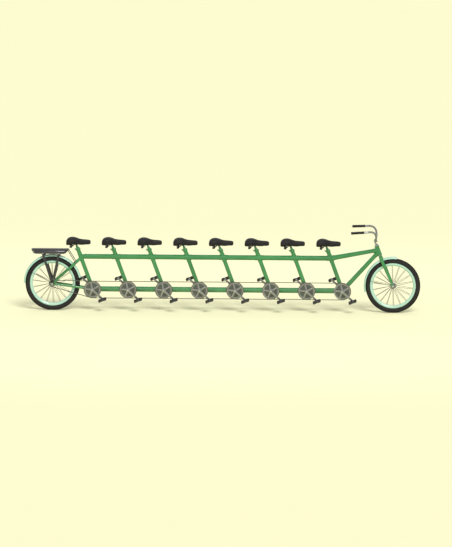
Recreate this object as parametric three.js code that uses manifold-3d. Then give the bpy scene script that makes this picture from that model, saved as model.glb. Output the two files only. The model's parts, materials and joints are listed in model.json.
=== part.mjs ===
// An eight-rider tandem bicycle with one steered front wheel, swept-back handlebar, sprung saddles,
// roller-chain drive on the right-hand side, mudguards and a rear luggage rack.
//
// Units are millimetres and +Z is up. The bicycle rides towards +X, its right (drive) side is at -Y,
// and the origin is on the ground, in the middle of the overall length.
import * as THREE from "three";
import { mergeVertices } from "three/addons/utils/BufferGeometryUtils.js";
import Module from "manifold-3d";

const wasm = await Module();
wasm.setup();

// ---------------------------------------------------------------- driving dimensions

const riders = 8;
const chainPitch = 12.7;
const stationPitch = 35 * chainPitch; // from one bottom bracket to the next, in whole links
const tyreToLastBracket = 159.5; // rear tyre's front edge to the last bottom bracket, level
const tyreToFirstBracket = 286.5; // front tyre's rear edge to the first bottom bracket, level
const bracketHeight = 269;
const topTubeHeight = 677;
const seatLean = THREE.MathUtils.degToRad(20); // seat tubes, back from vertical
const headLean = THREE.MathUtils.degToRad(20); // steering axis, back from vertical
const forkRake = 22; // front axle ahead of the steering axis

const fitGap = 0.4; // between two pieces that rest on each other
const turnGap = 0.6; // between a turning piece and what holds it

const tyreRadius = 339.5;
const tyreWidth = 60;
const rimRadius = 283;
const rimDepth = 34;
const rimWidth = 38;
const wheelFacets = 36; // a multiple of four, so that a tyre stands on a corner of its outline

const spokePairs = 18;
const spokePairSpread = 10; // between the two parallel spokes of a pair
const spokeRadius = 2.4;
const spokeEndGap = 1.5; // between a spoke's tip and the rim
const spokeTipOut = 4; // at the rim, out from the centre plane
const firstSpokeAngle = THREE.MathUtils.degToRad(12);

const guardGap = 21; // tyre tread to the inside of a mudguard
const guardSheet = 2.5;
const guardFacets = 36;
const guardWider = 12; // than the tyre
const guardSkirt = 22; // how far a mudguard's edges reach down over the tyre
const stayRadius = 2.5;
const stayFootReach = 24; // from the axle to a guard stay's foot
const rearGuard = { fromDegrees: 12, toDegrees: 180, stayDegrees: 152, stayFootOut: 58 };
const frontGuard = { fromDegrees: 82, toDegrees: 193, stayDegrees: 168, stayFootOut: 44 };

const boomRadius = 33; // lower tube, through every bottom bracket
const topTubeRadius = 31;
const topTubeEndRadius = 24; // where it meets the last seat tube and the head tube
const topTubeSwage = 60; // length of its narrowed rear end
const seatTubeRadius = 25;
const downTubeRadius = 28;
const downTubeEndRadius = 25;
const headTubeRadius = 27;
const seatTubeAboveTopTube = 98; // top tube axis to the open end of a seat tube, measured upright
const bracketShellRadius = 36;
const bracketShellWidth = 76;
const dropoutMiddle = 66; // middle of a rear dropout plate, out from the centre plane
const dropoutPlate = 8;
const dropoutEyeRadius = 19;
const dropoutTipRadius = 13;
const dropoutReach = 60; // from the axle to the end of a dropout's lobe
const stayWide = 20;
const seatStayWide = 18;
const stayTall = 36;
const stayClearance = 7; // between a chain stay and the tyre's side
const stayAboveGuard = 14; // a seat stay's bend, out from the mudguard
const stayAheadOfTread = 30; // a chain stay's bend, in from the tyre's edge
const staySwing = 80; // length over which a chain stay swings out
const staySteps = 6;
const bridgeRadius = 8;

const seatPostRadius = 17.5;
const seatPostInserted = 250;
const seatPostRoom = 44; // below a post, for lowering it
const saddleClampHeight = 832;
const saddleClampRadius = 14;
const saddleClampWidth = 44;
const saddleLength = 306;
const saddleWidth = 196;
const saddleNoseHalf = 22; // half width of the nose
const saddleRearDrop = 12; // the cover's rear edge, below its base
const pocketRoom = 6; // beside the clamp, in the underside of a saddle
const pocketGap = 1.4; // ahead of the seat post and behind it
const saddleTop = 922;
const saddleBase = 832;
const saddleBehindBracket = 328; // rear edge of a saddle behind its bottom bracket
const saddleSpringRadius = 17;
const saddleSpringFoot = 792;
const saddleSpringSpacing = 96;
const saddleSpringInset = 60; // ahead of the saddle's rear edge

const spindleRadius = 10;
const crankLength = 175;
const crankAngle = THREE.MathUtils.degToRad(42); // right crank, down from level
const crankInside = 74; // inner face of a crank, out from the centre plane
const crankThick = 14;
const crankRootRadius = 20;
const crankTipRadius = 15;
const ringTeeth = 52;
const chainPlate = 8.2; // height of a chain's side plates
const chainWidth = 7;
const innerChainLine = 50; // out from the centre plane
const outerChainLine = 60;
const ringPlate = 4;
const spiderReach = 74;
const spiderRoot = 22;
const spiderArms = 5;
const spiderArmSpread = 0.12; // radians, half the width of an arm's tip
const ringBand = 8; // depth of a ring's band inside the spider's reach

const pedalAxleRadius = 7;
const pedalLength = 100; // fore and aft
const pedalWidth = 98;
const pedalThick = 30;
const pedalBevel = 8;
const pedalAngle = THREE.MathUtils.degToRad(20); // front edge up
const pedalFromCrank = 6;

const sprocketTeeth = 20;
const sprocketSeat = 19; // radius of the hub under the freewheel
const freewheelWall = 7;
const freewheelDepth = 8;
const axleRadius = 5.5;
const rearFlange = 40;
const frontFlange = 34;
const rearFlangeSpacing = 58;
const frontFlangeSpacing = 62;
const hubShell = 24;
const flangeThick = 5;
const flangeSlope = 8; // over which a flange runs down into the hub shell
const hubEndRadius = 16;
const hubEndGap = 2; // between a hub and the dropout beside it
const nutRadius = 11;
const nutThick = 10;
const axleProud = 4; // of its nut
const underNut = 6; // spacer between a dropout and the next piece out

const bladeBesideGuard = 3.5; // gap between a fork blade and the mudguard
const bladeWide = [20, 16]; // at the crown, at the dropout
const bladeTall = [42, 26];
const forkTipReach = 34;
const forkTipRadii = [17, 12]; // round the axle, at the blade
const crownTall = 26;
const crownDeep = 40;
const steererRadius = 14.3;
const headTubeLength = 120;
const crownPast = 8; // the crown's ends, out from the middle of a blade
const downTubeMeets = 43; // up the head tube from its lower end
const topTubeMeets = 66;
const headsetStack = 12; // above and below the head tube
const quillRadius = 11;
const quillFoot = 40; // up the head tube
const quillBoreFoot = 10;
const neckWide = 24;
const neckTall = 30;
const clampAboveHeadTube = 72; // along the steering axis
const stemReach = 12;
const stemClampRadius = 19;
const stemClampWidth = 42;
const barRadius = 12.2;
const gripRadius = 17;
const gripLength = 160;
const gripStart = 34; // along the bar from its last bend
const gripEndWall = 6;
const gripWall = 1.2; // gap inside a grip

const rackLength = 455;
const rackBehindAxle = 255;
const rackAboveTyre = 83;
const rackHalfWidth = 55;
const rackTube = 7;
const slatWide = 62; // flat strip along the middle of the deck
const slatThick = 4;
const railDrop = 40; // upper deck to the lower side rails
const panelThick = 3; // pressed panels between the deck and those rails
const railHalfWidth = 70;
const railInsets = [32, 42]; // lower rails, in from the deck's rear and front ends
const strutWide = 28;
const strutThick = 5;
const strutSpots = [-117, 86]; // where the struts meet the lower rails, ahead of the axle
const tieRadius = 4.5;
const tieStep = 5; // of a seat stay's steps, where a tie from the deck meets it

const cutPast = 5; // how far a bore runs out of what it cuts
const saddleCut = 2; // the same for a saddle's side outline

// ---------------------------------------------------------------- worked out from those

const chainstayRun = tyreRadius + tyreToLastBracket; // rear axle to the last bottom bracket
const frontCentre = tyreRadius + tyreToFirstBracket;
const guardWidth = tyreWidth + guardWider;
const bladeMiddle = guardWidth / 2 + guardSheet + bladeBesideGuard + bladeWide[0] / 2;
const rackHeight = 2 * tyreRadius + rackAboveTyre;
const guardInside = tyreRadius + guardGap;
const guardOutside = guardInside + guardSheet;
const wheelbase = chainstayRun + (riders - 1) * stationPitch + frontCentre;
const overallLength = guardOutside + wheelbase + tyreRadius;
const rearAxleX = guardOutside - overallLength / 2;
const frontAxleX = rearAxleX + wheelbase;
const axleHeight = tyreRadius;
const pitchRadius = (teeth) => chainPitch / 2 / Math.sin(Math.PI / teeth);
// A wheel's toothed ring is drawn as a plain disc, clear inside the flats of its chain's outline.
const chainArcSteps = 8;
const widestWrap = THREE.MathUtils.degToRad(200); // of any chain round any wheel
const chainArcStep = widestWrap / chainArcSteps;
const insideChain = (teeth) =>
  (pitchRadius(teeth) - chainPlate / 2) * Math.cos(0.5 * chainArcStep) - 1.2 * fitGap;
const ringRadius = insideChain(ringTeeth);
const sprocketRadius = insideChain(sprocketTeeth);
const stationX = (station) =>
  frontAxleX - frontCentre - (station - 1) * stationPitch;

const point = (x, y, z) => new THREE.Vector3(x, y, z);
const sideways = point(0, 1, 0);
const steerUp = point(-Math.sin(headLean), 0, Math.cos(headLean));
const seatUp = point(-Math.sin(seatLean), 0, Math.cos(seatLean));
const steerFoot = point(frontAxleX - forkRake / Math.cos(headLean), 0, axleHeight);
const onSteerAxis = (along) => steerFoot.clone().addScaledVector(steerUp, along);

// The crown clears the front mudguard; the head tube stands on the crown.
const crownAboveGuard = 8;
const crownFoot = Math.sqrt(guardOutside ** 2 - forkRake ** 2) + crownAboveGuard;
const headTubeFoot = crownFoot + crownTall + headsetStack;
const headTubeTop = headTubeFoot + headTubeLength;
const steererTop = headTubeTop + headsetStack;
const clampAlong = headTubeTop + clampAboveHeadTube;
const barCentre = onSteerAxis(clampAlong).add(point(stemReach, 0, 0));

const alongSeat = (height) => (height - bracketHeight) / Math.cos(seatLean);
const seatTubeLength = alongSeat(topTubeHeight + seatTubeAboveTopTube);
const seatTubeBore = seatPostRadius + turnGap;
const topTubeX = (station) =>
  stationX(station) - alongSeat(topTubeHeight) * Math.sin(seatLean);

// ---------------------------------------------------------------- shapes and solids

function solid(geometry) {
  const bare = geometry.clone();
  bare.deleteAttribute("normal");
  bare.deleteAttribute("uv");
  const merged = mergeVertices(bare, 1e-4);
  return new wasm.Manifold(
    new wasm.Mesh({
      numProp: 3,
      vertProperties: merged.attributes.position.array,
      triVerts: new Uint32Array(merged.index.array),
    }),
  );
}

function geometryOf(made) {
  const { vertProperties, triVerts } = made.getMesh();
  const geometry = new THREE.BufferGeometry();
  geometry.setAttribute("position", new THREE.BufferAttribute(vertProperties, 3));
  geometry.setIndex(new THREE.BufferAttribute(triVerts, 1));
  geometry.computeVertexNormals();
  return geometry;
}

const join = (pieces) => pieces.reduce((whole, piece) => whole.add(piece));

// The radius to draw a bore at, so that the flats of its outline still clear a round of this radius.
const aroundRound = (radius, sides) => radius / Math.cos(Math.PI / sides);

// A tube along a curve, oval if wide and tall differ; wide is measured towards `side`.
// wide and tall are full widths, or pairs of them at the start and the end.
function sweep(curve, { wide, tall = wide, sides = 10, steps = 1, side = sideways }) {
  const geometry = new THREE.CylinderGeometry(0.5, 0.5, 1, sides, steps);
  const spots = geometry.attributes.position;
  const between = (size, t) =>
    Array.isArray(size) ? THREE.MathUtils.lerp(size[0], size[1], t) : size;
  for (let i = 0; i < spots.count; i++) {
    const t = THREE.MathUtils.clamp(spots.getY(i) + 0.5, 0, 1);
    const along = curve.getTangentAt(t);
    const across = side.clone().addScaledVector(along, -side.dot(along)).normalize();
    const over = across.clone().cross(along);
    const spot = curve
      .getPointAt(t)
      .addScaledVector(across, spots.getX(i) * between(wide, t))
      .addScaledVector(over, spots.getZ(i) * between(tall, t));
    spots.setXYZ(i, spot.x, spot.y, spot.z);
  }
  return geometry;
}

const upright = point(0, 0, 1);

// A straight round rod between two points.
function rod(from, to, radius, sides = 10) {
  const along = to.clone().sub(from).normalize();
  const side = Math.abs(along.y) > 0.9 ? upright : sideways;
  return solid(
    sweep(new THREE.LineCurve3(from, to), { wide: 2 * radius, sides, side }),
  );
}

// The same for a rod in the centre plane that narrows from one end to the other.
function taper(from, to, startRadius, endRadius) {
  const wide = [2 * startRadius, 2 * endRadius];
  return solid(sweep(new THREE.LineCurve3(from, to), { wide, tall: wide }));
}

// A flat outline drawn in X and Z, given its thickness between two values of Y. Each of its arcs is
// drawn with `arcSteps` flats, and each Bezier curve with half as many.
function plate(shape, lowY, highY, arcSteps = 4) {
  const curveSegments = arcSteps / 2;
  const options = { depth: highY - lowY, bevelEnabled: false, curveSegments };
  const geometry = new THREE.ExtrudeGeometry(shape, options);
  return geometry.rotateX(Math.PI / 2).translate(0, highY, 0);
}

const block = (low, high) => {
  const size = high.clone().sub(low);
  const middle = low.clone().add(high).multiplyScalar(0.5);
  const geometry = new THREE.BoxGeometry(size.x, size.y, size.z);
  return solid(geometry.translate(middle.x, middle.y, middle.z));
};

// A ring turned about the Y axis from a closed outline of [radius, y] corners.
function turned(outline, segments) {
  const corners = outline.map(([radius, y]) => new THREE.Vector2(radius, y));
  if (THREE.ShapeUtils.area(corners) < 0) corners.reverse();
  return new THREE.LatheGeometry([...corners, corners[0]], segments);
}

// The same for a solid round, whose outline starts and ends on the axis.
function turnedSolid(outline, segments) {
  const corners = outline.map(([radius, y]) => new THREE.Vector2(radius, y));
  if (THREE.ShapeUtils.area(corners) < 0) corners.reverse();
  return new THREE.LatheGeometry(corners, segments);
}

// A bar with round ends, lying along X from the origin.
function roundEndedBar(length, startRadius, endRadius) {
  const shape = new THREE.Shape();
  shape.absarc(0, 0, startRadius, Math.PI / 2, (3 * Math.PI) / 2, false);
  shape.absarc(length, 0, endRadius, -Math.PI / 2, Math.PI / 2, false);
  return shape;
}

// ---------------------------------------------------------------- finishes

const finish = (colour, roughness, metalness) =>
  new THREE.MeshStandardMaterial({ color: colour, roughness, metalness });
const finishes = {
  greenEnamel: finish(0x2f8f4a, 0.35, 0.1),
  mintEnamel: finish(0xa6dcc0, 0.35, 0.1),
  greyAlloy: finish(0x8d9492, 0.4, 0.9),
  darkSteel: finish(0x2b2f33, 0.45, 0.8),
  blackTyre: finish(0x17181a, 0.85, 0),
  blackCover: finish(0x1b191d, 0.7, 0),
  blackPlastic: finish(0x1a1a1c, 0.6, 0),
  blackEnamel: finish(0x1d1d1f, 0.4, 0.1),
};

const bicycle = new THREE.Group();

function addPart(name, made, material, parent = bicycle) {
  const geometry = made.isBufferGeometry ? made : geometryOf(made);
  const mesh = new THREE.Mesh(geometry, material);
  mesh.name = name;
  parent.add(mesh);
  return mesh;
}

// ---------------------------------------------------------------- frame

function frameTubes() {
  const topTubeRear = point(topTubeX(riders), 0, topTubeHeight);
  const swageEnd = topTubeRear.clone().add(point(topTubeSwage, 0, 0));
  const topTubeBend = point(topTubeX(1), 0, topTubeHeight);
  const firstBracket = point(stationX(1), 0, bracketHeight);
  const topMeets = onSteerAxis(headTubeFoot + topTubeMeets);
  const downMeets = onSteerAxis(headTubeFoot + downTubeMeets);
  const tubes = [
    rod(lastBracket, firstBracket, boomRadius),
    rod(swageEnd, topTubeBend, topTubeRadius),
    taper(topTubeRear, swageEnd, topTubeEndRadius, topTubeRadius),
    taper(topTubeBend, topMeets, topTubeRadius, topTubeEndRadius),
    taper(firstBracket, downMeets, downTubeRadius, downTubeEndRadius),
    rod(onSteerAxis(headTubeFoot), onSteerAxis(headTubeTop), headTubeRadius),
  ];
  for (let station = 1; station <= riders; station++) {
    const foot = point(stationX(station), 0, bracketHeight);
    const top = foot.clone().addScaledVector(seatUp, seatTubeLength);
    const half = bracketShellWidth / 2;
    tubes.push(
      rod(foot, top, seatTubeRadius),
      rod(foot.clone().setY(-half), foot.clone().setY(half), bracketShellRadius),
    );
  }
  return tubes;
}

// The two chain stays swing out round the tyre; the two seat stays close in above the mudguard.
const rearAxle = point(rearAxleX, 0, axleHeight);
const lastBracket = point(stationX(riders), 0, bracketHeight);
const seatStayTop = lastBracket
  .clone()
  .addScaledVector(seatUp, alongSeat(topTubeHeight) - stayTall / 2);
const chainRun = rearAxle.clone().sub(lastBracket);
const seatRun = seatStayTop.clone().sub(rearAxle);
const shellSide = bracketShellWidth / 2 - 0.2 * stayWide;
const tyreSide = (tyreWidth + stayWide) / 2 + stayClearance;
const guardSide = guardWidth / 2 + guardSheet + seatStayWide / 2;
const tyreNose = 1 - (tyreRadius - stayAheadOfTread) / chainRun.length();
const swingStart = tyreNose - staySwing / chainRun.length();
const pastGuard = (guardOutside + stayAboveGuard) / seatRun.length();

// Each stay's spots are [share of its run, out from the centre plane].
const chainStaySpots = [
  [0.03, shellSide - 0.5 * stayWide],
  [swingStart, shellSide],
  [tyreNose, tyreSide],
  [0.925, dropoutMiddle],
];
const seatStaySpots = [
  [0.08, dropoutMiddle],
  [0.45, 0.9 * dropoutMiddle],
  [pastGuard, guardSide + 0.1 * stayWide],
  [0.98, 0.9 * seatTubeRadius],
];
const besideRun = (from, run, [share, out], hand) =>
  from.clone().addScaledVector(run, share).setY(hand * out);
const stayCurve = (from, run, spots, hand) =>
  new THREE.CatmullRomCurve3(spots.map((spot) => besideRun(from, run, spot, hand)));
const seatStayCurve = (hand) => stayCurve(rearAxle, seatRun, seatStaySpots, hand);

function frameStays() {
  const stay = (curve, wide) =>
    solid(sweep(curve, { wide, tall: stayTall, steps: staySteps }));
  const bridge = (from, run, spot) =>
    rod(besideRun(from, run, spot, -1), besideRun(from, run, spot, 1), bridgeRadius, 8);
  const pieces = [
    bridge(rearAxle, seatRun, [pastGuard + 0.02, guardSide]),
    bridge(lastBracket, chainRun, [swingStart + 0.04, shellSide]),
  ];
  for (const hand of [-1, 1]) {
    pieces.push(
      stay(stayCurve(lastBracket, chainRun, chainStaySpots, hand), stayWide),
      stay(seatStayCurve(hand), seatStayWide),
      dropout(hand),
    );
  }
  return pieces;
}

// A plate that holds the rear axle, with a lobe into each of the two stays.
function dropout(hand) {
  const lobe = (run) => {
    const shape = roundEndedBar(dropoutReach, dropoutEyeRadius, dropoutTipRadius);
    const low = hand * dropoutMiddle - dropoutPlate / 2;
    return plate(shape, low, low + dropoutPlate)
      .rotateY(-Math.atan2(run.z, run.x))
      .translate(rearAxle.x, 0, rearAxle.z);
  };
  return solid(lobe(chainRun.clone().negate())).add(solid(lobe(seatRun)));
}

// What is cut away for an axle across the bicycle to turn in.
const crossBore = (middle, half, radius) =>
  rod(
    middle.clone().setY(-half),
    middle.clone().setY(half),
    aroundRound(radius + turnGap, 8),
    8,
  );

function frame() {
  let made = join([...frameTubes(), ...frameStays()]);
  const axleEnd = dropoutMiddle + dropoutPlate + cutPast;
  const shellEnd = bracketShellWidth / 2 + cutPast;
  const bores = [
    rod(
      onSteerAxis(headTubeFoot - cutPast),
      onSteerAxis(headTubeTop + cutPast),
      aroundRound(steererRadius + turnGap, 10),
    ),
    crossBore(rearAxle, axleEnd, axleRadius),
  ];
  for (let station = 1; station <= riders; station++) {
    const foot = point(stationX(station), 0, bracketHeight);
    const boreFoot = seatTubeLength - seatPostInserted - seatPostRoom;
    bores.push(
      crossBore(foot, shellEnd, spindleRadius),
      rod(
        foot.clone().addScaledVector(seatUp, boreFoot),
        foot.clone().addScaledVector(seatUp, seatTubeLength + cutPast),
        seatTubeBore,
      ),
    );
  }
  for (const bore of bores) made = made.subtract(bore);
  return made;
}

// ---------------------------------------------------------------- seats

function seatPost() {
  const headHeight = saddleClampHeight - bracketHeight;
  const top = seatUp.clone().multiplyScalar(headHeight / Math.cos(seatLean));
  const foot = seatUp.clone().multiplyScalar(seatTubeLength - seatPostInserted);
  const half = saddleClampWidth / 2;
  return join([
    rod(foot, top, seatPostRadius),
    rod(top.clone().setY(-half), top.clone().setY(half), saddleClampRadius, 8),
  ]);
}

// A pear-shaped saddle on two coil springs: its plan outline cut by its side outline. The control
// points of both outlines are shares of its length, half width and height.
function saddle() {
  const half = saddleWidth / 2;
  const long = saddleLength;
  const nose = saddleNoseHalf;
  const planHalf = (hand) => [
    [[-0.01, 0.55 * half], [0.02, half], [0.2, half]],
    [[0.42, half], [0.45, 1.2 * nose], [0.72, nose]],
    [[0.9, 0.9 * nose], [1, 0.9 * nose], [1, 0]],
  ].map((curve) => curve.map(([share, out]) => [share * long, hand * out]));
  const plan = new THREE.Shape();
  plan.moveTo(0, 0);
  for (const curve of planHalf(1)) plan.bezierCurveTo(...curve.flat());
  const starts = [[0, 0], ...planHalf(-1).map((curve) => curve[2])];
  planHalf(-1)
    .map(([first, second], i) => [...second, ...first, ...starts[i]])
    .reverse()
    .forEach((curve) => plan.bezierCurveTo(...curve));
  const tall = saddleTop - saddleBase;
  const past = saddleCut;
  const side = new THREE.Shape();
  side.moveTo(-past, -saddleRearDrop);
  side.lineTo(0.3 * long, 0);
  side.lineTo(long + past, 0);
  side.lineTo(long + past, 0.54 * tall);
  side.bezierCurveTo(0.8 * long, 0.63 * tall, 0.58 * long, 0.66 * tall, 0.45 * long, 0.88 * tall);
  side.bezierCurveTo(0.36 * long, 1.06 * tall, 0.06 * long, 1.08 * tall, -past, 0.45 * tall);
  const options = { depth: 2 * tall, bevelEnabled: false, curveSegments: 3 };
  const pear = new THREE.ExtrudeGeometry(plan, options).translate(0, 0, -tall / 2);
  // The pocket underneath rests on the seat post's clamp.
  const clampX = saddleBehindBracket - alongSeat(saddleClampHeight) * Math.sin(seatLean);
  const clampTop = saddleClampHeight + saddleClampRadius + fitGap - saddleBase;
  const pocketHalf = saddleClampWidth / 2 + pocketRoom;
  const thickest = Math.max(saddleClampRadius, seatPostRadius / Math.cos(seatLean));
  const pocketReach = thickest + pocketGap;
  const pocket = block(
    point(clampX - pocketReach, -pocketHalf, -saddleRearDrop - past),
    point(clampX + pocketReach, pocketHalf, clampTop),
  );
  const springHeight = saddleBase - saddleSpringFoot;
  const spring = (out) =>
    rod(
      point(saddleSpringInset, out, -springHeight),
      point(saddleSpringInset, out, saddleRearDrop),
      saddleSpringRadius,
      8,
    );
  return solid(pear)
    .intersect(solid(plate(side, -half - past, half + past, 6)))
    .add(spring(saddleSpringSpacing / 2))
    .add(spring(-saddleSpringSpacing / 2))
    .subtract(pocket);
}

// ---------------------------------------------------------------- cranks and pedals

// Spindle, both cranks, the five-armed spider and its chain rings, as bolted together.
// The right crank lies along +X and the left one along -X.
function crankset(hasInnerRing) {
  const outerFace = outerChainLine + ringPlate / 2;
  const innerFace = (hasInnerRing ? innerChainLine : outerChainLine) - ringPlate / 2;
  const ringInside = spiderReach - ringBand;
  const rings = turned(
    [
      [ringInside, -outerFace],
      [ringRadius, -outerFace],
      [ringRadius, -innerFace],
      [ringInside, -innerFace],
    ],
    18,
  );
  const spider = new THREE.Shape();
  for (let i = 0; i < spiderArms; i++) {
    const middle = (2 * Math.PI * i) / spiderArms + crankAngle;
    const corner = (radius, turn) =>
      spider.lineTo(radius * Math.cos(middle + turn), radius * Math.sin(middle + turn));
    corner(spiderRoot, -Math.PI / spiderArms);
    corner(spiderReach, -spiderArmSpread);
    corner(spiderReach, spiderArmSpread);
  }
  const crankOutside = crankInside + crankThick;
  const insert = 2; // how far one part of the crankset runs into the next
  const arm = roundEndedBar(crankLength, crankRootRadius, crankTipRadius);
  const right = solid(plate(arm, -crankOutside, -crankInside));
  const left = solid(plate(arm, -crankOutside, -crankInside).rotateZ(Math.PI));
  const axle = (hand) => {
    const end = crankOutside + pedalFromCrank + pedalWidth - pedalBevel / 2;
    return rod(
      point(-hand * crankLength, hand * (crankOutside - insert), 0),
      point(-hand * crankLength, hand * end, 0),
      pedalAxleRadius,
      6,
    );
  };
  return join([
    rod(
      point(0, insert / 2 - crankOutside, 0),
      point(0, crankOutside - insert / 2, 0),
      spindleRadius,
      8,
    ),
    solid(rings),
    solid(plate(spider, -crankInside - insert / 2, insert - outerFace)),
    right,
    left,
    axle(-1),
    axle(1),
  ]);
}

// A platform pedal, bored through for its axle and centred on it.
function pedal() {
  const outline = new THREE.Shape();
  const long = pedalLength / 2;
  const tall = pedalThick / 2;
  const bevel = pedalBevel;
  outline.moveTo(-long + bevel, -tall);
  outline.lineTo(long - bevel, -tall);
  outline.lineTo(long, -tall + bevel);
  outline.lineTo(long, tall - bevel);
  outline.lineTo(long - bevel, tall);
  outline.lineTo(-long + bevel, tall);
  outline.lineTo(-long, tall - bevel);
  outline.lineTo(-long, -tall + bevel);
  const bore = new THREE.Path();
  bore.absarc(0, 0, aroundRound(pedalAxleRadius + turnGap, 8), 0, 2 * Math.PI, true);
  outline.holes.push(bore);
  return plate(outline, -pedalWidth / 2, pedalWidth / 2, 8);
}

// ---------------------------------------------------------------- chains

// A chain's closed loop round two wheels, as one band of its links' height and width.
// The second wheel is at the origin and the first one lies `run` away from it.
function chainLoop(run, firstRadius, secondRadius, line) {
  const span = Math.hypot(run.x, run.z);
  const heading = Math.atan2(run.z, run.x);
  const spread = Math.acos((secondRadius - firstRadius) / span);
  const outline = (offset, path) => {
    const far = firstRadius + offset;
    const near = secondRadius + offset;
    path.absarc(run.x, run.z, far, heading - spread, heading + spread, false);
    path.absarc(0, 0, near, heading + spread, heading - spread + 2 * Math.PI, false);
    return path;
  };
  const band = outline(chainPlate / 2, new THREE.Shape());
  band.holes.push(outline(-chainPlate / 2, new THREE.Path()));
  return plate(band, -line - chainWidth / 2, -line + chainWidth / 2, chainArcSteps);
}

function driveChain() {
  const run = point(chainstayRun, 0, bracketHeight - axleHeight);
  const loop = chainLoop(
    run,
    pitchRadius(ringTeeth),
    pitchRadius(sprocketTeeth),
    innerChainLine,
  );
  return loop.translate(rearAxleX, 0, axleHeight);
}

// Seven equal timing chains, on the outer and inner rings by turns. Each meets the next one at a
// link pin on top of the ring pair that they share.
function timingChains() {
  const linkPin = 3; // half thickness of the pin that joins two bands
  const radius = pitchRadius(ringTeeth);
  const pieces = [];
  for (let station = 1; station < riders; station++) {
    const line = station % 2 ? outerChainLine : innerChainLine;
    const loop = chainLoop(point(stationPitch, 0, 0), radius, radius, line);
    loop.translate(stationX(station + 1), 0, bracketHeight);
    pieces.push(solid(loop));
    if (station > 1) {
      const top = bracketHeight + radius;
      const x = stationX(station);
      pieces.push(
        block(
          point(x - linkPin, -outerChainLine, top - linkPin / 2),
          point(x + linkPin, -innerChainLine, top + linkPin),
        ),
      );
    }
  }
  return join(pieces);
}

// ---------------------------------------------------------------- wheels

function tyre() {
  const half = tyreWidth / 2;
  const bead = rimRadius + fitGap;
  const section = tyreRadius - bead;
  const side = (hand) => [
    [bead, hand * 0.5 * half],
    [bead + 0.3 * section, hand * half],
    [bead + 0.65 * section, hand * half],
    [tyreRadius, hand * 0.3 * half],
  ];
  return turned([...side(1), ...side(-1).reverse()], wheelFacets);
}

function rim() {
  const half = rimWidth / 2;
  const inside = rimRadius - rimDepth;
  return turned(
    [
      [inside, -0.4 * half],
      [inside + 0.45 * rimDepth, -half],
      [rimRadius, -half],
      [rimRadius, half],
      [inside + 0.45 * rimDepth, half],
      [inside, 0.4 * half],
    ],
    wheelFacets,
  );
}

// A hub shell with its laced spokes: parallel pairs, one spoke of each pair from either flange.
function hub(flangeRadius, flangeSpacing, end, rightRadius) {
  const half = flangeSpacing / 2;
  const bore = aroundRound(axleRadius + turnGap, 16);
  const shell = turned(
    [
      [bore, -end],
      [rightRadius, -end],
      [rightRadius, -half - flangeThick],
      [flangeRadius, -half - flangeThick],
      [flangeRadius, -half],
      [hubShell, flangeSlope - half],
      [hubShell, half - flangeSlope],
      [flangeRadius, half],
      [flangeRadius, half + flangeThick],
      [hubEndRadius, half + flangeThick],
      [hubEndRadius, end],
      [bore, end],
    ],
    16,
  );
  const pieces = [solid(shell)];
  for (let i = 0; i < spokePairs; i++) {
    const angle = firstSpokeAngle + (2 * Math.PI * i) / spokePairs;
    const out = point(Math.cos(angle), 0, Math.sin(angle));
    const across = point(-Math.sin(angle), 0, Math.cos(angle));
    for (const hand of [-1, 1]) {
      const offset = across.clone().multiplyScalar((hand * spokePairSpread) / 2);
      const root = out.clone().multiplyScalar(flangeRadius - flangeThick).add(offset);
      const tip = out.clone().multiplyScalar(rimRadius - rimDepth - spokeEndGap).add(offset);
      root.y = hand * (half + flangeThick / 2);
      tip.y = hand * spokeTipOut;
      pieces.push(rod(root, tip, spokeRadius, 3));
    }
  }
  return join(pieces);
}

function axle(nutFrom) {
  const halfLength = nutFrom + nutThick + axleProud;
  const right = [
    [0, -halfLength],
    [axleRadius, -halfLength],
    [axleRadius, -nutFrom - nutThick],
    [nutRadius, -nutFrom - nutThick],
    [nutRadius, -nutFrom],
    [axleRadius, -nutFrom],
  ];
  const left = right.map(([radius, y]) => [radius, -y]).reverse();
  return turnedSolid([...right, ...left], 10);
}

function sprocket() {
  const bore = aroundRound(sprocketSeat + turnGap, 16);
  const half = ringPlate / 2;
  const body = sprocketSeat + freewheelWall;
  return turned(
    [
      [bore, -innerChainLine - half],
      [sprocketRadius, -innerChainLine - half],
      [sprocketRadius, -innerChainLine + half],
      [body, -innerChainLine + half],
      [body, -innerChainLine + half + freewheelDepth],
      [bore, -innerChainLine + half + freewheelDepth],
    ],
    16,
  );
}

// ---------------------------------------------------------------- mudguards

// A channel of sheet metal over part of a wheel, between two angles counted from the front,
// with a pair of wire stays from its lower rear end to the axle.
function mudguard({ fromDegrees, toDegrees, stayDegrees, stayFootOut }) {
  const half = guardWidth / 2;
  const edge = guardInside - guardSkirt;
  const crown = 0.8 * half;
  const section = [
    [edge, -half],
    [guardInside, -crown],
    [guardInside, crown],
    [edge, half],
    [edge, half + guardSheet],
    [guardOutside, crown + 0.5 * guardSheet],
    [guardOutside, -crown - 0.5 * guardSheet],
    [edge, -half - guardSheet],
  ];
  const ring = solid(turned(section, guardFacets));
  const sector = new THREE.Shape();
  const radians = THREE.MathUtils.degToRad;
  const reachOut = 2 * guardOutside;
  const start = radians(fromDegrees);
  sector.lineTo(reachOut * Math.cos(start), reachOut * Math.sin(start));
  sector.absarc(0, 0, reachOut, start, radians(toDegrees), false);
  const kept = ring.intersect(solid(plate(sector, -guardWidth, guardWidth, 16)));
  const stays = [-1, 1].map((hand) => {
    const angle = radians(stayDegrees);
    const reach = 0.5 * (edge + guardInside);
    const top = point(
      reach * Math.cos(angle),
      hand * 0.5 * (half + crown + guardSheet),
      reach * Math.sin(angle),
    );
    const away = point(Math.cos(angle), 0, Math.sin(angle)).multiplyScalar(stayFootReach);
    return rod(away.setY(hand * stayFootOut), top, stayRadius, 6);
  });
  return join([kept, ...stays]);
}

// ---------------------------------------------------------------- fork, stem and handlebar

// Where the fork blades, axle and lower crown meet.
const bladeTopAlong = crownFoot + crownTall / 2;

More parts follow.
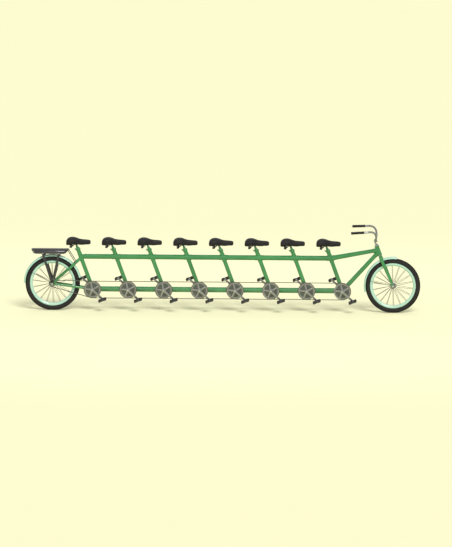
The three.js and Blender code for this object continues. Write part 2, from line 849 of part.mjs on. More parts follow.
function fork() {
  const crownMiddle = onSteerAxis(bladeTopAlong);
  const frontAxle = point(frontAxleX, 0, axleHeight);
  const pieces = [];
  for (const hand of [-1, 1]) {
    const top = crownMiddle.clone().setY(hand * bladeMiddle);
    const foot = frontAxle.clone().setY(hand * bladeMiddle);
    const blade = new THREE.LineCurve3(top, foot.clone().lerp(top, 0.05));
    const low = hand * bladeMiddle - dropoutPlate / 2;
    const tip = plate(roundEndedBar(forkTipReach, ...forkTipRadii), low, low + dropoutPlate)
      .rotateY(-Math.atan2(top.z - foot.z, top.x - foot.x))
      .translate(frontAxleX, 0, axleHeight);
    pieces.push(solid(sweep(blade, { wide: bladeWide, tall: bladeTall })), solid(tip));
  }
  const crown = new THREE.LineCurve3(
    crownMiddle.clone().setY(-bladeMiddle - crownPast),
    crownMiddle.clone().setY(bladeMiddle + crownPast),
  );
  pieces.push(
    solid(sweep(crown, { wide: crownTall, tall: crownDeep, sides: 8, side: steerUp })),
    rod(onSteerAxis(bladeTopAlong), onSteerAxis(steererTop), steererRadius),
  );
  const axleBore = crossBore(frontAxle, bladeMiddle + dropoutPlate + cutPast, axleRadius);
  const quillBore = rod(
    onSteerAxis(headTubeFoot + quillBoreFoot),
    onSteerAxis(steererTop + cutPast),
    aroundRound(quillRadius + turnGap, 10),
  );
  return join(pieces).subtract(axleBore).subtract(quillBore);
}

function stem() {
  const half = stemClampWidth / 2;
  const clamp = rod(
    barCentre.clone().setY(-half),
    barCentre.clone().setY(half),
    stemClampRadius,
  );
  const neck = new THREE.LineCurve3(onSteerAxis(clampAlong - cutPast), barCentre);
  const bore = rod(
    barCentre.clone().setY(-half - cutPast),
    barCentre.clone().setY(half + cutPast),
    aroundRound(barRadius + turnGap, 10),
  );
  return join([
    rod(onSteerAxis(headTubeFoot + quillFoot), onSteerAxis(clampAlong), quillRadius),
    solid(sweep(neck, { wide: neckWide, tall: neckTall, sides: 8 })),
    clamp,
  ]).subtract(bore);
}

// Bends of one half of the bar, from the clamp round to its grip, measured from the clamp's middle.
const barHalf = [
  [0, 0, 0],
  [0, stemClampWidth / 2 + 12, 0],
  [4, 74, 14],
  [9, 122, 56],
  [-1, 178, 105],
  [-30, 230, 134],
  [-68, 265, 143],
  [-104, 280, 142],
];
const gripRun = point(-1, 0.1, -0.05).normalize();

function barPoint([x, y, z], hand) {
  return barCentre.clone().add(point(x, hand * y, z));
}

function barEnd(hand, along) {
  const run = point(gripRun.x, hand * gripRun.y, gripRun.z);
  return barPoint(barHalf.at(-1), hand).addScaledVector(run, along);
}

function handlebar() {
  const half = (hand) => [
    ...barHalf.map((spot) => barPoint(spot, hand)),
    barEnd(hand, gripStart),
    barEnd(hand, gripStart + gripLength - 2 * gripEndWall),
  ];
  const [, ...left] = half(1);
  const curve = new THREE.CatmullRomCurve3([...half(-1).reverse(), ...left]);
  return sweep(curve, {
    wide: 2 * barRadius,
    sides: 8,
    steps: 28,
    side: point(0.4, 0, 1).normalize(),
  });
}

function grip(hand) {
  const from = barEnd(hand, gripStart);
  const to = barEnd(hand, gripStart + gripLength);
  const boreFrom = barEnd(hand, gripStart - 3 * cutPast);
  const boreTo = barEnd(hand, gripStart + gripLength - gripEndWall);
  const bore = aroundRound(barRadius + gripWall, 10);
  return rod(from, to, gripRadius).subtract(rod(boreFrom, boreTo, bore));
}

// ---------------------------------------------------------------- luggage rack

// Where a tie from the deck is clipped to the outer side of a seat stay.
const tieFoot = (hand) =>
  seatStayCurve(hand)
    .getPointAt(tieStep / staySteps)
    .sub(rearAxle)
    .add(point(0, hand * (seatStayWide / 2 + tieRadius + fitGap), 0));

// The slanting panel that closes one side of the rack.
function sidePanel(hand, [rear, front, deck, rail]) {
  const outward = railHalfWidth - rackHalfWidth;
  const deep = Math.hypot(outward, deck - rail);
  const outline = new THREE.Shape();
  outline.moveTo(rear + rackTube, 0);
  outline.lineTo(front - rackTube, 0);
  outline.lineTo(front - railInsets[1], -deep);
  outline.lineTo(rear + railInsets[0], -deep);
  const lean = hand * Math.atan2(outward, deck - rail);
  const panel = plate(outline, -panelThick / 2, panelThick / 2).rotateX(lean);
  return solid(panel.translate(0, hand * rackHalfWidth, deck));
}

// A welded rack: tubular deck, lower side rails, and two flat struts down to each end of the axle.
// It is drawn about the rear axle's middle.
function rack() {
  const deck = rackHeight - axleHeight;
  const rail = deck - railDrop;
  const rear = -rackBehindAxle;
  const front = rackLength - rackBehindAxle;
  const strutInside = dropoutMiddle + dropoutPlate / 2 + underNut;
  const slatTop = deck + rackTube + 0.5 * slatThick;
  const pieces = [
    block(
      point(rear - rackTube, -slatWide / 2, slatTop - slatThick),
      point(front + rackTube, slatWide / 2, slatTop),
    ),
  ];
  const crossBars = 4;
  for (let i = 0; i <= crossBars; i++) {
    const x = THREE.MathUtils.lerp(rear, front, i / crossBars);
    pieces.push(
      rod(point(x, -rackHalfWidth, deck), point(x, rackHalfWidth, deck), rackTube, 6),
    );
  }
  for (const hand of [-1, 1]) {
    const deckY = hand * rackHalfWidth;
    const railY = hand * railHalfWidth;
    const railRear = point(rear + railInsets[0], railY, rail);
    const railFront = point(front - railInsets[1], railY, rail);
    pieces.push(
      rod(point(rear, deckY, deck), point(front, deckY, deck), rackTube, 6),
      rod(railRear, railFront, rackTube, 6),
      rod(railRear, point(rear + rackTube, deckY, deck), rackTube, 6),
      rod(railFront, point(front - rackTube, deckY, deck), rackTube, 6),
      rod(point(front - rackTube, deckY, deck), tieFoot(hand), tieRadius, 6),
    );
    pieces.push(sidePanel(hand, [rear, front, deck, rail]));
    const low = hand > 0 ? strutInside : -strutInside - strutThick;
    for (const topX of strutSpots) {
      const length = Math.hypot(topX, rail);
      const outline = roundEndedBar(length, strutWide / 2, strutWide / 2);
      const bar = plate(outline, low, low + strutThick);
      pieces.push(solid(bar.rotateY(-Math.atan2(rail, topX))));
    }
  }
  const axleBore = crossBore(point(0, 0, 0), strutInside + strutThick + cutPast, axleRadius);
  return join(pieces).subtract(axleBore);
}

// ---------------------------------------------------------------- assembly

addPart("frame", frame(), finishes.greenEnamel);
addPart("drive_chain", driveChain(), finishes.darkSteel);
addPart("timing_chains", timingChains(), finishes.darkSteel);

const postGeometry = geometryOf(seatPost());
const saddleGeometry = geometryOf(saddle());
const pedalGeometry = pedal();
const doubleCrankset = geometryOf(crankset(true));
const singleCrankset = geometryOf(crankset(false));

for (let station = 1; station <= riders; station++) {
  const rider = new THREE.Group();
  rider.position.set(stationX(station), 0, bracketHeight);
  bicycle.add(rider);
  addPart(`seat_post_${station}`, postGeometry, finishes.greenEnamel, rider);
  const seat = addPart(`saddle_${station}`, saddleGeometry, finishes.blackCover, rider);
  seat.position.set(-saddleBehindBracket, 0, saddleBase - bracketHeight);

  const cranks = new THREE.Group();
  cranks.rotation.y = crankAngle;
  rider.add(cranks);
  const geometry = station === 1 ? singleCrankset : doubleCrankset;
  addPart(`crankset_${station}`, geometry, finishes.greyAlloy, cranks);
  for (const [name, hand] of [
    ["right", -1],
    ["left", 1],
  ]) {
    const tread = addPart(
      `pedal_${name}_${station}`,
      pedalGeometry,
      finishes.blackPlastic,
      cranks,
    );
    const middle = crankInside + crankThick + pedalFromCrank + pedalWidth / 2;
    tread.position.set(-hand * crankLength, hand * middle, 0);
    tread.rotation.y = -pedalAngle - crankAngle;
  }
}

const rearWheel = new THREE.Group();
rearWheel.position.set(rearAxleX, 0, axleHeight);
bicycle.add(rearWheel);
const frontWheel = new THREE.Group();
frontWheel.position.set(frontAxleX, 0, axleHeight);
bicycle.add(frontWheel);

const tyreGeometry = tyre();
const rimGeometry = rim();
for (const [end, wheel] of [
  ["rear", rearWheel],
  ["front", frontWheel],
]) {
  addPart(`${end}_tyre`, tyreGeometry, finishes.blackTyre, wheel);
  addPart(`${end}_rim`, rimGeometry, finishes.mintEnamel, wheel);
}
const rearInside = dropoutMiddle - dropoutPlate / 2 - hubEndGap;
const frontInside = bladeMiddle - dropoutPlate / 2 - hubEndGap;
const rearHub = hub(rearFlange, rearFlangeSpacing, rearInside, sprocketSeat);
const frontHub = hub(frontFlange, frontFlangeSpacing, frontInside, hubEndRadius);
addPart("rear_hub", rearHub, finishes.greyAlloy, rearWheel);
addPart("front_hub", frontHub, finishes.greyAlloy, frontWheel);
addPart("rear_sprocket", sprocket(), finishes.darkSteel, rearWheel);

const rackOutside = dropoutMiddle + dropoutPlate / 2 + underNut + strutThick + fitGap;
const bladeOutside = bladeMiddle + dropoutPlate / 2 + underNut;
addPart("rear_axle", axle(rackOutside), finishes.darkSteel, rearWheel);
addPart("front_axle", axle(bladeOutside), finishes.darkSteel, frontWheel);
addPart("rear_mudguard", mudguard(rearGuard), finishes.mintEnamel, rearWheel);
addPart("front_mudguard", mudguard(frontGuard), finishes.mintEnamel, frontWheel);
addPart("rear_rack", rack(), finishes.blackEnamel, rearWheel);

addPart("fork", fork(), finishes.greenEnamel);
addPart("stem", stem(), finishes.greyAlloy);
addPart("handlebar", handlebar(), finishes.greyAlloy);
addPart("grip_right", grip(-1), finishes.blackPlastic);
addPart("grip_left", grip(1), finishes.blackPlastic);

export default bicycle;
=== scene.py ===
# %% [markdown]
# # A tandem bicycle for eight riders
#
# This notebook builds the visible surface of a very long bicycle around a finished mechanical
# frame. The frame says where every axle, seat post and crank is. Each cell below makes one kind of
# part, and explains how a maker would make the real one.

import json
from math import acos, atan2, cos, hypot, pi, radians, sin, sqrt, tau

import bmesh
import bpy
from mathutils import Matrix, Vector
from mathutils.geometry import interpolate_bezier


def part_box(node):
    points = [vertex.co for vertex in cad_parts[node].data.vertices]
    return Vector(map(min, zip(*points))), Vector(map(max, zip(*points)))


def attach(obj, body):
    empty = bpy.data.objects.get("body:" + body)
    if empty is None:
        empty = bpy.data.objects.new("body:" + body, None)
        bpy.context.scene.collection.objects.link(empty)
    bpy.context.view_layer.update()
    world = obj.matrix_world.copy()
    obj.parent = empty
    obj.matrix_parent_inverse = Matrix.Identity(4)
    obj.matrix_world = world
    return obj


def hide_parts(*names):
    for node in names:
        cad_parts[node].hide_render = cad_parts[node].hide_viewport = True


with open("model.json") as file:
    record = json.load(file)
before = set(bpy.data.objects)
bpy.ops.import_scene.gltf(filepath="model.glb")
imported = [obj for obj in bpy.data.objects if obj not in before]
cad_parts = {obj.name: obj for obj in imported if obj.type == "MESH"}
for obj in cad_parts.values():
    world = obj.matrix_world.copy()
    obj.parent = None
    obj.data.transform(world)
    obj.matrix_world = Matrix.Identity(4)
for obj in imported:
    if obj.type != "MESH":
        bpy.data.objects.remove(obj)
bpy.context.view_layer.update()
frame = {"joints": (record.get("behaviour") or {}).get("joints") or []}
joints = {joint["name"]: joint for joint in frame["joints"]}

# %% [markdown]
# ## The few places that everything hangs on
#
# A bicycle is drawn from its axes: the two wheel axles, the steering axis, the eight bottom
# brackets, and the lean of the seat tubes. They are read from the joints, so that the visible
# parts can't drift away from the moving ones.

# %% Axes and driving sizes
LEFT = Vector((0, 1, 0))
UP = Vector((0, 0, 1))
AHEAD = Vector((1, 0, 0))

riders = range(1, 1 + sum(name.startswith("seat_height") for name in joints))


def joint_spot(name):
    return Vector(joints[name]["pos_m"])


brackets = {k: joint_spot(f"crank_spin_{k}") for k in riders}
for spot in brackets.values():
    spot.y = 0
first, last = brackets[min(riders)], brackets[max(riders)]
rear_axle = joint_spot("rear_wheel_spin")
front_axle = joint_spot("front_wheel_spin")
steer_up = Vector(joints["steering"]["axis"]).normalized()
seat_up = Vector(joints["seat_height_1"]["axis"]).normalized()


def on_steering(along):
    """A point on the steering axis, measured from the height of the front axle."""
    pivot = joint_spot("steering")
    foot = pivot + steer_up * ((front_axle.z - pivot.z) / steer_up.z)
    return foot + steer_up * along


TYRE_RADIUS = (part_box("front_tyre")[1].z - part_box("front_tyre")[0].z) / 2
RIM_RADIUS = (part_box("front_rim")[1].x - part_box("front_rim")[0].x) / 2
GUARD_OUTSIDE = rear_axle.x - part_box("rear_mudguard")[0].x
TOP_TUBE_HEIGHT = 0.677
SEAT_TUBE_TOP = 0.775
CROWN_FOOT = sqrt(GUARD_OUTSIDE**2 - 0.022**2) + 0.008
CROWN_TALL = 0.026
HEAD_FOOT = CROWN_FOOT + CROWN_TALL + 0.012
HEAD_TOP = HEAD_FOOT + 0.120
print("riders", len(riders), "wheelbase", round(front_axle.x - rear_axle.x, 3))

# %% [markdown]
# ## Helpers for shapes
#
# Most of a bicycle is tube, turned work and plate. Each helper returns a small bmesh, made with
# the same operators that the editor's tools use, so that shapes can be joined, copied and placed
# before they become one object.

# %% Placing and joining shapes


def facing(along, across=LEFT):
    """A turn that takes Z onto `along` and keeps X as near to `across` as it can."""
    z = along.normalized()
    x = across - z * across.dot(z)
    x = x.normalized() if x.length > 1e-6 else z.orthogonal().normalized()
    return Matrix((x, z.cross(x), z)).transposed().to_4x4()


def placed(spot, along=UP, across=LEFT):
    return Matrix.Translation(spot) @ facing(along, across)


# A turned part on a cross axle: its own Z runs to the rider's left.
def on_axle(spot):
    return placed(spot, LEFT, AHEAD)


def moved(shape, matrix):
    bmesh.ops.transform(shape, matrix=matrix, verts=shape.verts)
    return shape


def joined(shapes, spots=(Matrix(),)):
    """One bmesh that holds every shape once at each of the spots."""
    whole = bmesh.new()
    for shape in shapes:
        for spot in spots:
            mesh = bpy.data.meshes.new("shape")
            shape.to_mesh(mesh)
            mesh.transform(spot)
            whole.from_mesh(mesh)
            bpy.data.meshes.remove(mesh)
    return whole


def soften(shape, width, sharper_than=35, segments=2):
    """Rounds every edge that turns more sharply than an angle."""
    edges = [
        edge
        for edge in shape.edges
        if edge.is_manifold and edge.calc_face_angle() > radians(sharper_than)
    ]
    bmesh.ops.bevel(
        shape,
        geom=edges,
        offset=width,
        offset_type="OFFSET",
        affect="EDGES",
        segments=segments,
        profile=0.5,
        material=-1,
        clamp_overlap=True,
    )
    return shape


# %% Rods, turned parts, tubes and plates


def rod(start, end, radius, end_radius=None, sides=24, edge=0.0):
    shape = bmesh.new()
    bmesh.ops.create_cone(
        shape,
        cap_ends=True,
        segments=sides,
        radius1=radius,
        radius2=radius if end_radius is None else end_radius,
        depth=(end - start).length,
        matrix=placed((start + end) / 2, end - start),
    )
    return soften(shape, edge, 50) if edge else shape


def box(size, spot=Matrix(), edge=0.0, segments=2):
    shape = bmesh.new()
    scale = Matrix.Diagonal((*size, 1))
    bmesh.ops.create_cube(shape, size=1.0, matrix=spot @ scale)
    return soften(shape, edge, 50, segments) if edge else shape


def close_ends(shape):
    rims = [edge for edge in shape.edges if edge.is_boundary]
    bmesh.ops.holes_fill(shape, edges=rims, sides=0)
    return shape


def turned(outline, spot=Matrix(), steps=48, ring=False, start=0.0, sweep=tau):
    """Spins an outline of (radius, height) points about Z. A ring's outline closes on itself."""
    shape = bmesh.new()
    turn = Matrix.Rotation(start, 4, "Z")
    verts = [shape.verts.new(turn @ Vector((r, 0, h))) for r, h in outline]
    ends = verts[1:] + verts[:1] if ring else verts[1:]
    edges = [shape.edges.new(pair) for pair in zip(verts, ends)]
    bmesh.ops.spin(
        shape,
        geom=verts + edges,
        cent=(0, 0, 0),
        axis=(0, 0, 1),
        angle=sweep,
        steps=steps,
        use_merge=sweep == tau,
    )
    bmesh.ops.remove_doubles(shape, verts=shape.verts, dist=1e-6)
    if sweep != tau:
        close_ends(shape)
    bmesh.ops.recalc_face_normals(shape, faces=shape.faces)
    return moved(shape, spot)


def tube(path, size, sides=16, across=LEFT, loop=False):
    """A round or oval tube along a path. `size` is a radius, or gives (across, over) radii for a
    share of the way along."""
    ends = [path[-1], *path, path[0]] if loop else [path[0], *path, path[-1]]
    spots = []
    for i, spot in enumerate(path):
        wide, tall = size(i / (len(path) - 1)) if callable(size) else (size, size)
        along = ends[i + 2] - ends[i]
        spots.append(placed(spot, along, across) @ Matrix.Diagonal((wide, tall, 1, 1)))
    shape = bmesh.new()
    made = bmesh.ops.create_circle(shape, segments=sides, radius=1.0, matrix=spots[0])
    edges = list({edge for vert in made["verts"] for edge in vert.link_edges})
    begin = edges
    for before, after in zip(spots, spots[1:]):
        grown = bmesh.ops.extrude_edge_only(shape, edges=edges)["geom"]
        verts = {part for part in grown if isinstance(part, bmesh.types.BMVert)}
        edges = [
            part
            for part in grown
            if isinstance(part, bmesh.types.BMEdge) and verts.issuperset(part.verts)
        ]
        step = after @ before.inverted()
        bmesh.ops.transform(shape, matrix=step, verts=list(verts))
    if loop:
        bmesh.ops.bridge_loops(shape, edges=begin + edges)
    else:
        close_ends(shape)
    bmesh.ops.recalc_face_normals(shape, faces=shape.faces)
    return shape


def smooth_path(points, steps=8):
    """Closely spaced points on a smooth curve through the given ones."""
    ends = [points[0] * 2 - points[1], *points, points[-1] * 2 - points[-2]]
    path = [points[0]]
    for a, b, c, d in zip(ends, ends[1:], ends[2:], ends[3:]):
        path += interpolate_bezier(b, b + (c - a) / 6, c - (d - b) / 6, c, steps + 1)[1:]
    return path


def hull(*discs, sides=20, edge=0.0, segments=2):
    """A plate stretched tight over discs, each (centre, radius, thickness), square to Y."""
    shape = bmesh.new()
    for centre, radius, thick in discs:
        for side in (-1, 1):
            spot = on_axle(centre + LEFT * (side * thick / 2))
            bmesh.ops.create_circle(shape, segments=sides, radius=radius, matrix=spot)
    made = bmesh.ops.convex_hull(shape, input=shape.verts)
    spare = {part for part in made["geom_unused"] + made["geom_interior"] if part.is_valid}
    bmesh.ops.delete(
        shape,
        geom=[part for part in spare if isinstance(part, bmesh.types.BMVert)],
        context="VERTS",
    )
    bmesh.ops.dissolve_limit(
        shape, angle_limit=radians(0.5), verts=shape.verts, edges=shape.edges
    )
    return soften(shape, edge, 50, segments) if edge else shape


def hexagon(spot, along, wide, tall):
    """A nut or bolt head: six sides, with its corners turned off."""
    return rod(spot, spot + along.normalized() * tall, wide / 2, sides=6, edge=tall * 0.12)


# %% [markdown]
# A shape becomes a *piece*: one object with one finish, riding on the body that it moves with. Its
# place goes into its mesh, so that its own coordinates are those of the whole bicycle.

# %% Turning shapes into pieces
made_pieces = []


def piece(name, shapes, finish, body, stands_for=(), spot=Matrix(), sharp=32):
    whole = joined(shapes)
    bmesh.ops.recalc_face_normals(whole, faces=whole.faces)
    for face in whole.faces:
        face.smooth = True
    mesh = bpy.data.meshes.new(name)
    whole.to_mesh(mesh)
    whole.free()
    mesh.transform(spot)
    mesh.set_sharp_from_angle(angle=radians(sharp))
    mesh.materials.append(finish)
    made = bpy.data.objects.new(name, mesh)
    bpy.context.scene.collection.objects.link(made)
    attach(made, body)
    if stands_for:
        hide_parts(*stands_for)
    made_pieces.append(made)
    return made


# %% [markdown]
# ## Finishes
#
# A finish is a small network of shader nodes. Writing it as arithmetic keeps it readable, so the
# first class below lets Python's operators add Math nodes. The second one holds the network.

# %% Shader arithmetic


class Value:
    """A number that varies over a surface. Adding or multiplying it adds a Math node."""

    def __init__(self, finish, socket):
        self.finish, self.socket = finish, socket

    def math(self, operation, *values, clamp=False):
        settings = {"operation": operation, "use_clamp": clamp}
        return self.finish.node("ShaderNodeMath", settings, dict(enumerate(values)))

    def __add__(self, other):
        return self.math("ADD", self, other)

    def __sub__(self, other):
        return self.math("SUBTRACT", self, other)

    def __rsub__(self, other):
        return self.math("SUBTRACT", other, self)

    def __mul__(self, other):
        return self.math("MULTIPLY", self, other)

    def __truediv__(self, other):
        return self.math("DIVIDE", self, other)

    __radd__ = __add__
    __rmul__ = __mul__

    def past(self, edge, soft=0.02):
        """0 below an edge and 1 above it, with a soft step between."""
        ramp = (self - (edge - soft)) / (2 * soft)
        return ramp.math("MULTIPLY", ramp, 1.0, clamp=True)


class Finish:
    """A material whose nodes are added one at a time around one Principled shader."""

    def __init__(self, name, **fixed):
        self.material = bpy.data.materials.new(name)
        self.material.use_nodes = True
        self.tree = self.material.node_tree
        self.shader = self.tree.nodes["Principled BSDF"]
        for socket, value in fixed.items():
            self.shader.inputs[socket.replace("_", " ")].default_value = value
        self.place = self.node("ShaderNodeTexCoord", output="Object")

    def node(self, kind, settings=None, inputs=None, output=0):
        node = self.tree.nodes.new(kind)
        for name, setting in (settings or {}).items():
            setattr(node, name, setting)
        for name, value in (inputs or {}).items():
            if isinstance(value, Value):
                self.tree.links.new(value.socket, node.inputs[name])
            else:
                node.inputs[name].default_value = value
        return Value(self, node.outputs[output])

    def noise(self, scale, detail=3.0, roughness=0.55, place=None):
        inputs = {
            "Vector": place or self.place,
            "Scale": scale,
            "Detail": detail,
            "Roughness": roughness,
        }
        return self.node("ShaderNodeTexNoise", None, inputs, "Fac")

    def cells(self, scale, feature):
        inputs = {"Vector": self.place, "Scale": scale}
        return self.node("ShaderNodeTexVoronoi", {"feature": feature}, inputs, "Distance")

    def stretched(self, scale):
        """Object coordinates, scaled along each axis."""
        return self.node("ShaderNodeMapping", None, {"Vector": self.place, "Scale": scale})

    def part(self, place, axis):
        return self.node("ShaderNodeSeparateXYZ", None, {0: place}, axis)

    def mix(self, share, first, second):
        """A colour between two, by a share from 0 to 1."""
        colours = [c if isinstance(c, Value) else (*c, 1.0) for c in (first, second)]
        inputs = {0: share, 6: colours[0], 7: colours[1]}
        return self.node("ShaderNodeMix", {"data_type": "RGBA"}, inputs, 2)

    def paint(self, **sockets):
        for name, value in sockets.items():
            socket = self.shader.inputs[name.replace("_", " ")]
            self.tree.links.new(value.socket, socket)

    def relief(self, height, depth):
        """Raises the surface by a height from 0 to 1, times a depth in metres."""
        inputs = {"Height": height, "Distance": depth, "Strength": 1.0}
        return self.node("ShaderNodeBump", None, inputs)


# %% [markdown]
# ### Enamel
#
# Stove enamel flows before it hardens, so it is glossy with a faint orange-peel ripple. Years of
# use leave dull patches, fine dust where the wheels throw it, and small chips down to the primer.
# The chips are cells of a noise that passes a high threshold, so they stay rare and irregular.

# %% Enamels


def enamel(name, colour, shade, chip, dust=(0.33, 0.29, 0.22), gloss=0.24, chips=0.73):
    finish = Finish(name, Coat_Weight=0.55, Coat_Roughness=0.07, IOR=1.5)
    depth = finish.noise(2.6, 2.0)
    base = finish.mix(depth.past(0.5, 0.22), colour, shade)
    speckle = finish.noise(900, 2.0)
    base = finish.mix(speckle.past(0.62, 0.1) * 0.12, base, shade)
    chipped = finish.noise(85, 4.0, 0.6).past(chips, 0.006) * finish.noise(7, 2.0).past(0.52, 0.05)
    low = finish.part(finish.place, "Z")
    grime = (0.62 - low) * 1.1
    grime = grime.math("MULTIPLY", grime, finish.noise(24, 5.0, 0.65), clamp=True) * 0.32
    base = finish.mix(grime, base, dust)
    base = finish.mix(chipped, base, chip)
    rough = finish.noise(34, 4.0) * 0.16 + (gloss - 0.08) + grime * 0.5 + chipped * 0.3
    ripple = finish.noise(310, 1.0) * 0.5 + chipped * -1.5
    finish.paint(
        Base_Color=base, Roughness=rough, Normal=finish.relief(ripple, 0.00012)
    )
    return finish.material


GREEN = enamel("green_enamel", (0.034, 0.245, 0.066), (0.020, 0.175, 0.046), (0.16, 0.15, 0.13))
MINT = enamel("mint_enamel", (0.44, 0.70, 0.57), (0.38, 0.63, 0.51), (0.10, 0.22, 0.15), chips=0.75)
# This dark grey is used only for the disc in each chain ring, where it is painted shade.
RING_SHADE_GREY = enamel(
    "ring_shade_grey_enamel", (0.050, 0.066, 0.056), (0.036, 0.048, 0.040), (0.2, 0.2, 0.19), gloss=0.42
)
BLACK = enamel(
    "black_enamel",
    (0.008, 0.008, 0.009),
    (0.012, 0.012, 0.013),
    (0.10, 0.10, 0.10),
    (0.10, 0.09, 0.075),
    0.44,
)

# %% [markdown]
# ### Bare metals
#
# Polished alloy is never a mirror: buffing leaves fine parallel lines, and handling leaves a
# cloudy film. Both are differences in roughness, with a very small relief. Oiled chain is darker,
# with black grease gathered in patches.

# %% Metals


def metal(name, bright, dull, rough, lines=(60, 900, 60), film=14, relief=0.00002, grease=0.0):
    finish = Finish(name, Metallic=1.0)
    brushed = finish.noise(1.0, 3.0, 0.6, finish.stretched(lines))
    cloudy = finish.noise(film, 4.0, 0.6)
    base = finish.mix(cloudy.past(0.5, 0.2), bright, dull)
    roughness = rough + brushed * 0.16 + cloudy * 0.18 - 0.12
    extra = {}
    if grease:
        dirty = finish.noise(130, 4.0, 0.65).past(1.0 - grease, 0.12)
        base = finish.mix(dirty, base, (0.012, 0.011, 0.010))
        roughness = roughness + dirty * 0.18
        extra["Metallic"] = 1.0 - dirty * 0.85
    finish.paint(
        Base_Color=base, Roughness=roughness, Normal=finish.relief(brushed, relief), **extra
    )
    return finish.material


ALLOY = metal("grey_alloy", (0.36, 0.37, 0.375), (0.27, 0.28, 0.285), 0.32)
PLATED = metal("plated_steel", (0.66, 0.67, 0.68), (0.50, 0.51, 0.52), 0.16, film=30)
CHAIN = metal("chain_steel", (0.26, 0.25, 0.235), (0.15, 0.142, 0.13), 0.34, grease=0.46)
RINGS = metal("ring_steel", (0.34, 0.35, 0.35), (0.25, 0.255, 0.25), 0.34, grease=0.36)
SPOKES = metal("black_steel", (0.045, 0.048, 0.055), (0.028, 0.03, 0.034), 0.32)

# %% [markdown]
# ### Rubber, and the saddle covers
#
# Tyre rubber is matt, with road dust held in its low places. Saddle covers are a soft black
# vinyl, embossed with a leather grain: small rounded cells with creases between them, and a
# slight polish where riders sit.

# %% Rubber and vinyl


def rubber(name, colour, dust, rough, grain=700, depth=0.0001, dusty=0.5):
    finish = Finish(name, Specular_IOR_Level=0.35)
    film = finish.noise(9, 5.0, 0.65).past(1.0 - dusty, 0.25) * 0.4
    base = finish.mix(film, colour, dust)
    fine = finish.noise(grain, 3.0)
    roughness = rough + film * 0.15 + fine * 0.1
    finish.paint(
        Base_Color=base, Roughness=roughness, Normal=finish.relief(fine, depth)
    )
    return finish.material


def vinyl():
    finish = Finish("saddle_vinyl", Specular_IOR_Level=0.32)
    creases = finish.cells(520, "DISTANCE_TO_EDGE").past(0.13, 0.12)
    pores = finish.noise(1500, 2.0)
    worn = finish.noise(11, 3.0).past(0.52, 0.2)
    base = finish.mix(worn * 0.5, (0.009, 0.0085, 0.009), (0.018, 0.0165, 0.017))
    # The creases of the grain are painted darker here: painted shade in the creases.
    base = finish.mix((1.0 - creases) * 0.5, base, (0.007, 0.006, 0.007))
    roughness = 0.56 - worn * 0.14 + (1.0 - creases) * 0.2
    height = creases * 0.8 + pores * 0.2
    finish.paint(
        Base_Color=base, Roughness=roughness, Normal=finish.relief(height, 0.00035)
    )
    return finish.material


TYRE = rubber("tyre_rubber", (0.010, 0.010, 0.0105), (0.042, 0.039, 0.034), 0.74)
GRIP = rubber("grip_rubber", (0.011, 0.011, 0.012), (0.03, 0.029, 0.028), 0.6, 1100)
TREAD = rubber("pedal_rubber", (0.010, 0.010, 0.0105), (0.045, 0.042, 0.038), 0.68, 900)
COVER = vinyl()
print(len(bpy.data.materials), "finishes")

# %% [markdown]
# ## Camera, light and floor
#
# The bicycle is seen from its chain side, from far away and only a little above, so that it reads
# almost as a drawing. A wide, soft sun lights the whole length evenly, and two long softboxes, one
# in front and one behind, lay a highlight along every tube.

# %% Stage
IMAGE_WIDTH, IMAGE_HEIGHT = 452, 547
SEEN_WIDTH = 5.62  # metres of the scene across the view
AWAY = 60.0


def lamp(name, spot, aim, size, power, colour):
    light = bpy.data.lights.new(name, "AREA")
    light.shape, light.energy, light.color = "RECTANGLE", power, colour
    light.size, light.size_y = size
    made = bpy.data.objects.new(name, light)
    made.location = spot
    made.rotation_mode = "QUATERNION"
    made.rotation_quaternion = (Vector(spot) - Vector(aim)).to_track_quat("Z", "Y")
    bpy.context.scene.collection.objects.link(made)


azimuth, elevation = radians(3), radians(9)
aim = Vector((0.055, 0.0, 0.475))
back = Vector((sin(azimuth) * cos(elevation), -cos(azimuth) * cos(elevation), sin(elevation)))
camera_data = bpy.data.cameras.new("camera")
camera_data.sensor_width = 36.0
seen_height = SEEN_WIDTH * IMAGE_HEIGHT / IMAGE_WIDTH
camera_data.lens = camera_data.sensor_width * AWAY / seen_height
camera_data.clip_end = 200.0
camera = bpy.data.objects.new("camera", camera_data)
camera.location = aim + back * AWAY
camera.rotation_mode = "QUATERNION"
camera.rotation_quaternion = back.to_track_quat("Z", "Y")
bpy.context.scene.collection.objects.link(camera)
bpy.context.scene.camera = camera

sun = bpy.data.lights.new("sun", "SUN")
sun.energy, sun.angle, sun.color = 2.05, radians(24), (1.0, 0.99, 0.97)
sun_object = bpy.data.objects.new("sun", sun)
sun_object.rotation_mode = "QUATERNION"
sun_object.rotation_quaternion = Vector((0.30, -0.75, 0.85)).to_track_quat("Z", "Y")
bpy.context.scene.collection.objects.link(sun_object)
lamp("softbox in front", (0, -4.5, 3.2), (0, 0, 0.5), (7.0, 0.6), 30, (1.0, 1.0, 1.0))
lamp("softbox behind", (0, 4.5, 3.6), (0, 0, 0.5), (7.0, 0.6), 24, (1.0, 1.0, 1.0))
world = bpy.data.worlds.new("studio")
world.use_nodes = True
world.node_tree.nodes["Background"].inputs["Color"].default_value = (1.0, 0.995, 0.97, 1.0)
world.node_tree.nodes["Background"].inputs["Strength"].default_value = 0.57
bpy.context.scene.world = world
bpy.context.scene.view_settings.view_transform = "Standard"

studio = bmesh.new()
bmesh.ops.create_grid(studio, x_segments=2, y_segments=2, size=150.0)
floor_mesh = bpy.data.meshes.new("floor")
studio.to_mesh(floor_mesh)
floor = bpy.data.objects.new("floor", floor_mesh)
bpy.context.scene.collection.objects.link(floor)
paper = Finish("paper", Base_Color=(0.96, 0.945, 0.62, 1.0), Roughness=1.0)
floor_mesh.materials.append(paper.material)
print("camera", AWAY, "m away, seeing", SEEN_WIDTH, "m across")

